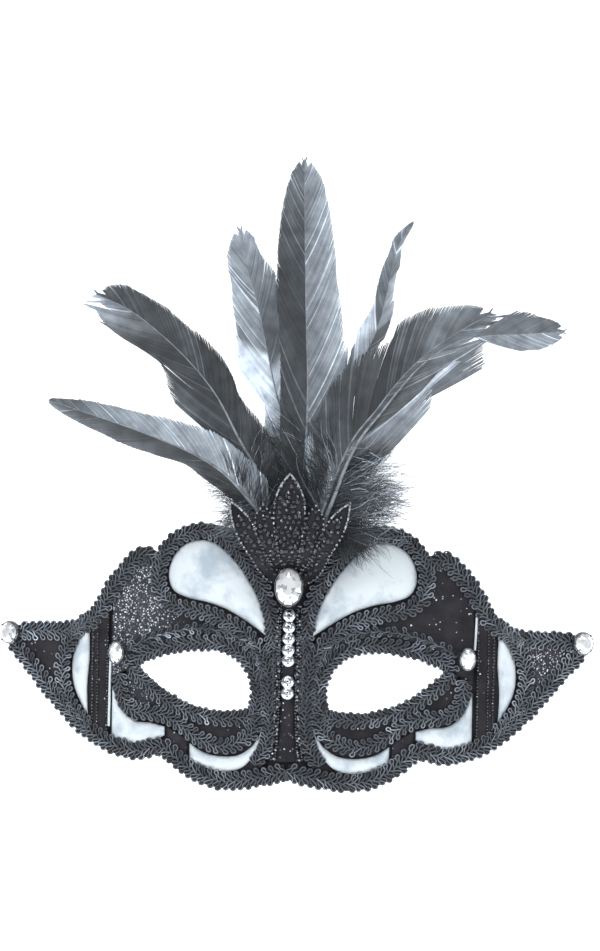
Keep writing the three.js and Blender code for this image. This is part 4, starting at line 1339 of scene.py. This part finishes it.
def add_stones(looks):
    for name, stone in STONES.items():
        width, height, deep = stone["width"], stone["height"], stone["deep"]
        gem = brilliant(width, height, deep, SETTING_FLOOR + 0.3)
        wall = SETTING_FLOOR + 0.42 * deep
        profile = [
            (0.05, SETTING_FLOOR), (0.05, wall), (0.2, wall + 0.1), (0.4, wall - 0.1), (0.5, 0.35),
            (0.3, 0.0), (-0.6 * width / 2, 0.0), (-0.6 * width / 2, SETTING_FLOOR),
        ]
        if name == "centre":
            # Its cup has a stem, since the applique bends forward above it.
            profile[5:7] = [(-0.9, 0.0), (-1.3, -2.6), (-0.6 * width / 2, -2.6)]
        cup = ring_part(width, height, profile)
        body = gather([cup, gather(prongs(width, height, deep, 8 if name == "centre" else 4))])
        for suffix, left in ((("", False),) if name == "centre" else (("_right", False), ("_left", True))):
            for part, node, ending, look, smooth in (
                (gem, f"{name}_stone{suffix}", "_facets", "stone", False),
                (body, f"{name}_setting{suffix}", "_cup", "setting", True),
            ):
                points, faces = placed_stone(part, stone, left)
                make_object(node + ending, points, faces, looks[look], smooth=smooth, node=node)


# ---- Plume ----
BINDING = {"x": 1.75, "bottom": 46.0, "top": 55.0, "width": 25.0, "deep": 9.6}
FOOT = BINDING["bottom"] + 2
FEATHER_LAYER = 1.25
FEATHER_LEAN = 0.0008
QUILL_RADIUS = 0.9

# Shaft points run from the foot in the binding to the tip. Each vane has its width, how full it stays
# towards the tip, its greys as pairs of (share of the shaft, lightness) and how much lighter its outer edge
# is. bare is the share of the shaft without vanes, start is how wide they begin, stripes is how much
# the locks differ in lightness.
FEATHERS = {
    "inner_left": {
        "layer": 0, "bare": 0.14, "start": 0.4, "down": 1.2, "ragged": 0.25, "stripes": 0.14,
        "shaft": [(-1.6, FOOT), (-1.2, 68), (-1.6, 87.6), (-6.2, 102.6), (-11.1, 122.8), (-14.1, 136.1),
                  (-18, 149.2), (-22.5, 168)],
        "left": (10.6, 7.0, [(0.2, 0.1), (0.36, 0.5), (0.57, 0.7), (0.6, 0.14), (0.75, 0.2), (1, 0.3)], 0.6),
        "right": (10.4, 7.0, [(0.2, 0.08), (0.4, 0.35), (0.53, 0.6), (0.56, 0.08), (0.72, 0.1),
                              (1, 0.24)], 0.8),
    },
    "thin_right": {
        "layer": 1, "bare": 0.2, "start": 0.6, "down": 0.8, "ragged": 1.4, "stripes": 0.6,
        "shaft": [(5.6, FOOT), (8, 64), (12.8, 86), (18, 101.6), (24.3, 114.6), (32, 131.6), (35.8, 149),
                  (39, 162.6), (44.5, 171.7)],
        "left": (8.8, 1.7, [(0.3, 0.08), (0.5, 0.3), (0.6, 0.3), (0.8, 0.2), (1, 0.18)], 0.6),
        "right": (5.6, 1.6, [(0.3, 0.06), (0.6, 0.12), (0.8, 0.24), (1, 0.2)], 0.6),
    },
    "upper_left": {
        "layer": 2, "bare": 0.1, "start": 0.5, "down": 1.2, "ragged": 0.35, "stripes": 0.12,
        "shaft": [(-4.6, FOOT), (-8.4, 62), (-13.6, 75), (-20.3, 86.6), (-30, 104), (-42, 118), (-54, 128.6),
                  (-64, 135.8), (-77, 141.6)],
        "left": (14.6, 24.0, [(0.1, 0.035), (0.5, 0.04), (0.72, 0.05), (0.85, 0.12), (1, 0.34)], 1.0),
        "right": (8.8, 12.0, [(0.1, 0.035), (0.6, 0.045), (0.9, 0.055), (1, 0.08)], 0.3),
    },
    "centre_tall": {
        "layer": 3, "bare": 0.08, "start": 0.5, "down": 1.2, "ragged": 0.08, "stripes": 0.14,
        "shaft": [(2.4, FOOT), (4, 62), (5.4, 88), (5.4, 110), (4.5, 128), (3.5, 150), (1.8, 195)],
        "left": (11.6, 6.0, [(0.1, 0.03), (0.4, 0.035), (0.7, 0.055), (0.85, 0.09), (1, 0.16)], 0.1),
        "right": (13.8, 6.0, [(0.1, 0.03), (0.25, 0.07), (0.45, 0.16), (0.7, 0.2), (1, 0.16)], 1.2),
    },
    "low_left": {
        "layer": 4, "bare": 0.06, "start": 0.5, "down": 0.9, "ragged": 0.25, "stripes": 0.12,
        "shaft": [(-7.6, FOOT), (-10.8, 56), (-16.7, 64.4), (-25.7, 73.6), (-37.3, 80.8), (-58, 89),
                  (-76, 95), (-94, 100.5)],
        "left": (9.8, 2.2, [(0.1, 0.03), (0.5, 0.035), (0.8, 0.045), (1, 0.08)], 2.6),
        "right": (9.2, 2.2, [(0.1, 0.16), (0.3, 0.36), (0.65, 0.36), (0.85, 0.16), (1, 0.08)], 0.2),
    },
    "big_right": {
        "layer": 5, "bare": 0.05, "start": 0.4, "down": 1.6, "ragged": 0.22, "stripes": 0.3,
        "shaft": [(8.6, FOOT), (11, 56.6), (14.1, 65), (19.2, 79), (24.2, 89), (32, 99), (38.1, 107.4),
                  (44.6, 115), (52, 121.8), (60, 127.6), (75.4, 136.8)],
        "left": (15.0, 5.0,
                 [(0.08, 0.1), (0.18, 0.34), (0.26, 0.08), (0.4, 0.028), (0.6, 0.05), (0.8, 0.12),
                  (1, 0.15)], 0.5),
        "right": (24.0, 9.0, [(0.08, 0.035), (0.3, 0.07), (0.5, 0.15), (0.75, 0.18), (1, 0.15)], 1.5),
    },
    "far_right": {
        "layer": 6, "bare": 0.75, "start": 0.02, "down": 0.0, "ragged": 0.0, "stripes": 0.06,
        "shaft": [(11.6, FOOT), (13.4, 56.6), (16.4, 65), (21.4, 78.6), (26.6, 88.6), (34, 98.2),
                  (40.4, 106.6), (47, 114.4), (54.6, 121), (64, 126.2), (74, 128), (86.4, 128.8),
                  (103.4, 130)],
        "left": (8.6, 3.2, [(0.6, 0.12), (1, 0.14)], 0.1),
        "right": (8.0, 3.2, [(0.6, 0.3), (1, 0.26)], 0.2),
    },
}
BARB_SPACING = 0.6
BARB_WIDTH = 0.46
BARB_STEPS = 9
BARB_SLOPE = 1.9


def layer_depth(layer):
    top = surface_point(np.array([0.0]), np.array([BINDING["top"]]), 4.4)[0, 1]
    return top - QUILL_RADIUS - 0.8 - layer * FEATHER_LAYER


def shaft_radius(t):
    return QUILL_RADIUS * (1 - 0.75 * np.minimum(1, t / 0.6)) * np.where(t > 0.6, 1 - 0.9 * (t - 0.6), 1)


def feather_depth(spec, z):
    rise = np.maximum(z - BINDING["top"], 0)
    return layer_depth(spec["layer"]) + FEATHER_LEAN * rise**2


def fullness(t, spec, blunt):
    s = np.clip((t - spec["bare"]) / (1 - spec["bare"]), 0, 1)
    return (spec["start"] + (1 - spec["start"]) * np.minimum(1, s / 0.25) ** 0.8) * (1 - s**blunt) ** 0.55


def tone_at(stops, t):
    return np.interp(t, [place for place, _ in stops], [value for _, value in stops])


def barb_strips(paths, widths, ridge, colours):
    """Closed strips with a triangular section along many paths at once, shaped (barbs, steps, 3)."""
    count, steps, _ = paths.shape
    along = np.gradient(paths, axis=1)
    along = unit(along, 1e-12)
    across = np.cross(along, np.array([0, -1.0, 0]))
    across = unit(across, 1e-12)
    up = np.cross(across, along)
    up *= -np.sign(up[..., 1:2] + 1e-9)
    half = widths[..., None] / 2
    ring = [paths - across * half, paths + up * ridge * half * 2, paths + across * half]
    verts = np.stack(ring, axis=2).reshape(-1, 3)
    b = np.arange(count)[:, None, None] * steps * 3
    i = np.arange(steps - 1)[None, :, None] * 3
    j = np.arange(3)[None, None, :]
    k = (j + 1) % 3
    quads = np.stack([b + i + j, b + i + 3 + j, b + i + 3 + k, b + i + k], axis=-1).reshape(-1, 4)
    first = np.arange(count)[:, None] * steps * 3
    caps = np.vstack([first + [[0, 1, 2]], first + (steps - 1) * 3 + [[2, 1, 0]]])
    tones = np.repeat(colours.reshape(-1, 3), 3, axis=0)
    return verts, quads, caps, tones


def grey(value):
    """The plume's cool grey at a given lightness."""
    return np.stack([value * 0.84, value * 0.95, value * 1.08], axis=-1)


def shaft_rows(curve, t, side):
    """Points on the shaft at shares t, with the directions along it and out to one side."""
    grid = np.linspace(0, 1, len(curve))
    tangent = np.gradient(curve, axis=0)
    tangent = unit(tangent)
    root = np.stack([np.interp(t, grid, curve[:, k]) for k in range(2)], axis=1)
    along = np.stack([np.interp(t, grid, tangent[:, k]) for k in range(2)], axis=1)
    along = unit(along)
    across = np.stack([along[:, 1], -along[:, 0]], axis=1) * np.reshape(side, (-1, 1))
    return root, along, across


def vane(spec, side, rng, curve):
    """The barbs of one vane: each leaves the shaft at a slant and bends towards the tip."""
    full_width, blunt, stops, edge = spec["left" if side < 0 else "right"]
    length = np.linalg.norm(np.diff(curve, axis=0), axis=1).sum()
    total = int(length * (1 - spec["bare"]) / BARB_SPACING)
    t = np.linspace(spec["bare"], 0.99, total) + rng.normal(0, 0.0006, total)
    # A barb's width is the vane's at the place that its own tip reaches.
    width = np.zeros(total)
    for _ in range(12):
        tip = t + (BARB_SLOPE + 0.3) * width / length
        width = 0.5 * width + 0.5 * full_width * fullness(tip, spec, blunt)
    # Barbs stick together in locks, which part a little from one another.
    lock = np.cumsum(rng.random(total) < 0.07)
    wild = spec["ragged"]
    lock_slope = rng.normal(0, 0.015 + 0.08 * wild, lock[-1] + 1)[lock]
    lock_trim = 1 - np.abs(rng.normal(0, 0.12 * wild + 0.01, lock[-1] + 1))[lock]
    lock_tone = np.exp(rng.normal(0, spec["stripes"], lock[-1] + 1))[lock]
    width = width * lock_trim * (1 - 0.03 * rng.random(total))
    root, along, across = shaft_rows(curve, t, side)
    u = np.linspace(0, 1, BARB_STEPS)[None, :]
    reach = width[:, None] * u
    slope = (BARB_SLOPE + lock_slope + rng.normal(0, 0.01, total))[:, None]
    forward = width[:, None] * (slope * u + 0.45 * u**2.4 - 0.15 * u)
    flat = root[:, None, :] + across[:, None, :] * reach[..., None] + along[:, None, :] * forward[..., None]
    shingle = 0.1 * np.sin(np.arange(total) * 1.7)[:, None] * u
    depth = feather_depth(spec, root[:, 1])[:, None] + 0.03 * reach**1.3 - 0.1 + shingle
    paths = np.stack([flat[..., 0], depth, flat[..., 1]], axis=2)
    # Each barb is as wide as the room to its neighbour, but for the last of a lock, so that locks part.
    step = np.diff(flat, axis=0, append=flat[-1:])
    run = np.gradient(flat, axis=1)
    run = unit(run, 1e-9)
    room = np.abs(step[..., 0] * run[..., 1] - step[..., 1] * run[..., 0])
    last = np.diff(lock, append=lock[-1] + 1)[:, None] > 0
    room = np.where(last, BARB_WIDTH, np.clip(1.5 * room, BARB_WIDTH, 2.2))
    strip = room * np.interp(u[0], (0, 0.8, 1), (1.0, 1.0, 0.45))[None, :]
    values = tone_at(stops, t[:, None] + 0.6 * forward / length) * lock_tone[:, None]
    values = values * (1 + edge * u**2) * np.exp(rng.normal(0, 0.15, (total, 1)))
    bright = 1 + 1.6 * (rng.random((total, 1)) < 0.035)
    return barb_strips(paths, strip, 0.16, grey(np.clip(values * bright, 0.012, 0.9)))


def fluff(root, heading, depth, rng, size, thick, values):
    """Fine curled barbs of down from these points, each heading its own way."""
    total = len(root)
    u = np.linspace(0, 1, 9)[None, :]
    curl = rng.normal(0, 0.35, total)[:, None]
    wave = 0.25 * np.sin(5 * u + rng.uniform(0, 6, (total, 1))) * u
    angle = heading[:, None] + curl * u + wave
    step = (size / 8)[:, None]
    x = root[:, :1] + np.cumsum(np.cos(angle) * step, axis=1) - np.cos(angle[:, :1]) * step
    z = root[:, 1:2] + np.cumsum(np.sin(angle) * step, axis=1) - np.sin(angle[:, :1]) * step
    y = depth[:, None] + rng.uniform(-0.8, 0.6, (total, 1)) * np.sin(2.2 * u)
    widths = np.interp(u[0], (0, 1), (thick, 0.3 * thick))[None, :] * np.ones((total, 1))
    tones = grey(np.clip(values[:, None] * np.ones((1, 9)), 0.012, 0.85))
    return barb_strips(np.stack([x, y, z], axis=2), widths, 0.4, tones)


def down(spec, rng, curve):
    """Fluffy barbs at the base of a feather."""
    total = int(620 * spec["down"])
    t = spec["bare"] * 0.3 + rng.random(total) ** 1.2 * 0.26
    side = np.where(rng.random(total) < 0.5, -1, 1)
    root, along, across = shaft_rows(curve, t, side)
    direction = along + across * rng.uniform(0.5, 1.6, (total, 1))
    heading = np.arctan2(direction[:, 1], direction[:, 0])
    width = np.where(side < 0, spec["left"][0], spec["right"][0])
    size = np.minimum(width, 15) * rng.uniform(0.8, 1.7, total)
    light = rng.random(total) < 0.05
    values = np.where(light, rng.uniform(0.2, 0.5, total), rng.uniform(0.018, 0.05, total))
    return fluff(root, heading, feather_depth(spec, root[:, 1]) + 0.2, rng, size, 0.22, values)


def hem_fluff(centre, spread, aim, length, count, values, seed):
    """A tuft at the foot of the plume that hangs over the mask."""
    rng = np.random.RandomState(seed)
    root = np.array(centre) + rng.normal(0, 1, (count, 2)) * spread
    heading = math.radians(aim) + rng.normal(0, 0.35, count)
    size = length * rng.uniform(0.5, 1.15, count)
    tones = rng.uniform(values[0], values[1], count)
    return fluff(root, heading, rng.uniform(-7.5, -5, count), rng, size, 0.24, tones)


def add_feather(name, spec, seed, looks):
    rng = np.random.RandomState(seed)
    curve = smooth_curve(spec["shaft"], 1.0)
    parts = [vane(spec, -1, rng, curve), vane(spec, 1, rng, curve)]
    if spec["down"]:
        parts.append(down(spec, rng, curve))
    points, quads = gather([(verts, quads) for verts, quads, _, _ in parts])
    caps = gather([(verts, caps) for verts, _, caps, _ in parts])[1]
    tones = np.vstack([part[-1] for part in parts])
    slot = "light_feather" if name in ("inner_left", "thin_right") else "dark_feather"
    make_object(f"feather_{name}_barbs", points, [quads, caps], looks["feather"], smooth=False, colours=tones,
                slot=slot, node=f"feather_{name}")
    t = np.linspace(0, 1, len(curve))
    path = np.stack([curve[:, 0], feather_depth(spec, curve[:, 1]) - 0.05, curve[:, 1]], axis=1)
    normals = np.tile([0, -1.0, 0], (len(path), 1))
    shaft = tube(path, np.maximum(shaft_radius(t), 0.12), 8, normals)
    make_object(f"feather_{name}_shaft", *shaft, looks["shaft"], slot=slot)


def add_hem_fluff(looks):
    """Down at both ends of the binding, over the top of the braid and panels."""
    tufts = (
        ("right", ((19, 54), (3.5, 1.6), -48, 14, 420, (0.02, 0.05), 501)),
        ("right_side", ((20, 63), (4.0, 6.0), 2, 20, 620, (0.03, 0.12), 502)),
        ("right_light", ((29, 66), (4.5, 7.0), 12, 15, 240, (0.2, 0.6), 504)),
        ("left", ((-17, 57), (3.0, 2.5), 205, 10, 260, (0.04, 0.3), 503)),
    )
    for name, tuft in tufts:
        points, quads, caps, tones = hem_fluff(*tuft)
        make_object("feather_fluff_" + name, points, [quads, caps], looks["feather"], smooth=False,
                    colours=tones, slot="dark_feather")


def add_binding(looks):
    """Tape wound round the quills: overlapping turns, each a rounded band."""
    turns = 6
    sides = 48
    height = BINDING["top"] - BINDING["bottom"]
    centre_y = layer_depth(3) - 0.2
    half_w, half_d = BINDING["width"] / 2, (BINDING["deep"] - 0.6) / 2
    rows = []
    angle = 2 * math.pi * np.arange(sides) / sides
    round_x = np.sign(np.cos(angle)) * np.abs(np.cos(angle)) ** 0.7
    round_y = np.sign(np.sin(angle)) * np.abs(np.sin(angle)) ** 0.7
    profile = [(0.0, 0.0)]
    for k in range(turns):
        for share, swell in ((0.04, 0.86), (0.3, 1.0), (0.7, 0.99), (0.96, 0.9)):
            profile.append(((k + share) / turns, swell))
    profile.append((1.0, 0.0))
    for share, swell in profile:
        slope = 0.35 * np.sin(angle)
        z = BINDING["bottom"] + share * height + slope * (0.02 < share < 0.98)
        squeeze = swell * (1 - 0.05 * math.sin(math.pi * share))
        x = BINDING["x"] + half_w * squeeze * round_x
        y = centre_y + half_d * squeeze * round_y
        rows.append(np.stack([x, y, z], axis=1))
    rows[0] = np.tile([BINDING["x"], centre_y, BINDING["bottom"]], (sides, 1))
    rows[-1] = np.tile([BINDING["x"], centre_y, BINDING["top"] - 1.0], (sides, 1))
    verts = np.vstack(rows)
    piece = make_object("plume_binding_tape", verts, ring_faces(len(rows), sides), looks["binding"])
    weld(piece)
    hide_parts("plume_binding")


def weld(piece):
    shape = bmesh.new()
    shape.from_mesh(piece.data)
    bmesh.ops.remove_doubles(shape, verts=shape.verts, dist=1e-7)
    bmesh.ops.recalc_face_normals(shape, faces=shape.faces)
    shape.to_mesh(piece.data)
    shape.free()


# ---- Ribbon tabs on the back ----
def add_tab_stitches(looks):
    """A line of stitches round each tab, just inside its edge."""
    x, z = 96.0, 1.0
    normal = normal_at(np.array([x]), np.array([z]))[0]
    side = np.cross(np.array([0, 0, 1.0]), normal)
    side /= np.linalg.norm(side)
    up = np.cross(normal, side)
    centre = surface_point(np.array([x]), np.array([z]), -LINING_BACK - 0.7 - 1.5)[0]
    parts = []
    half_w, half_h = 5.8, 4.8
    corners = [(-half_w, -half_h), (half_w, -half_h), (half_w, half_h), (-half_w, half_h), (-half_w, -half_h)]
    for (ax, az), (bx, bz) in zip(corners, corners[1:]):
        length = math.hypot(bx - ax, bz - az)
        count = int(length / 1.6)
        for k in range(count):
            share = (k + np.array([0.15, 0.3, 0.5, 0.7, 0.85])) / count
            lift = np.array([-0.1, 0.12, 0.18, 0.12, -0.1])
            u = ax + (bx - ax) * share
            v = az + (bz - az) * share
            path = centre + u[:, None] * side + v[:, None] * up - lift[:, None] * normal
            parts.append(tube(path, 0.16, 6, np.tile(-normal, (5, 1))))
    for side_name, left in SIDES:
        stitches = sided(gather(parts), left)
        make_object(f"ribbon_tab_{side_name}_stitches", *stitches, looks["thread"], slot="tab_tape")


def dress_cad_nodes(looks):
    for side, _ in SIDES:
        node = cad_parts[f"ribbon_tab_{side}"]
        tab = bpy.data.objects[node] if isinstance(node, str) else node
        tab.data.materials.clear()
        tab.data.materials.append(looks["tab"])


def main():
    make_camera()
    make_studio()
    make_floor()
    looks = {
        "velvet": velvet_look(),
        "satin": satin_look(),
        "gimp": gimp_look(),
        "core": plain_look("gimp_core"),
        "bead": plain_look("black_bead"),
        "bugle": plain_look("silver_and_glint_bead"),
        "sequin": plain_look("black_sequin"),
        "mirror": plain_look("silver_sequin"),
        "stone": stone_look(),
        "setting": plain_look("stone_setting"),
        "feather": feather_look(),
        "shaft": plain_look("feather_shaft"),
        "felt": plain_look("lining_felt"),
        "shell": plain_look("moulded_shell"),
        "binding": tape_look("binding_tape"),
        "tab": tape_look("tab_tape"),
        "thread": plain_look("stitch_thread"),
    }
    add_body(looks)
    add_velvets(looks)
    add_panels(looks)
    add_braids(looks)
    add_bead_trims(looks)
    add_piping(looks)
    add_nose_sequins(looks)
    add_applique(looks)
    add_stones(looks)
    for index, (name, spec) in enumerate(FEATHERS.items()):
        add_feather(name, spec, 300 + index, looks)
    add_hem_fluff(looks)
    add_binding(looks)
    add_tab_stitches(looks)
    dress_cad_nodes(looks)


main()
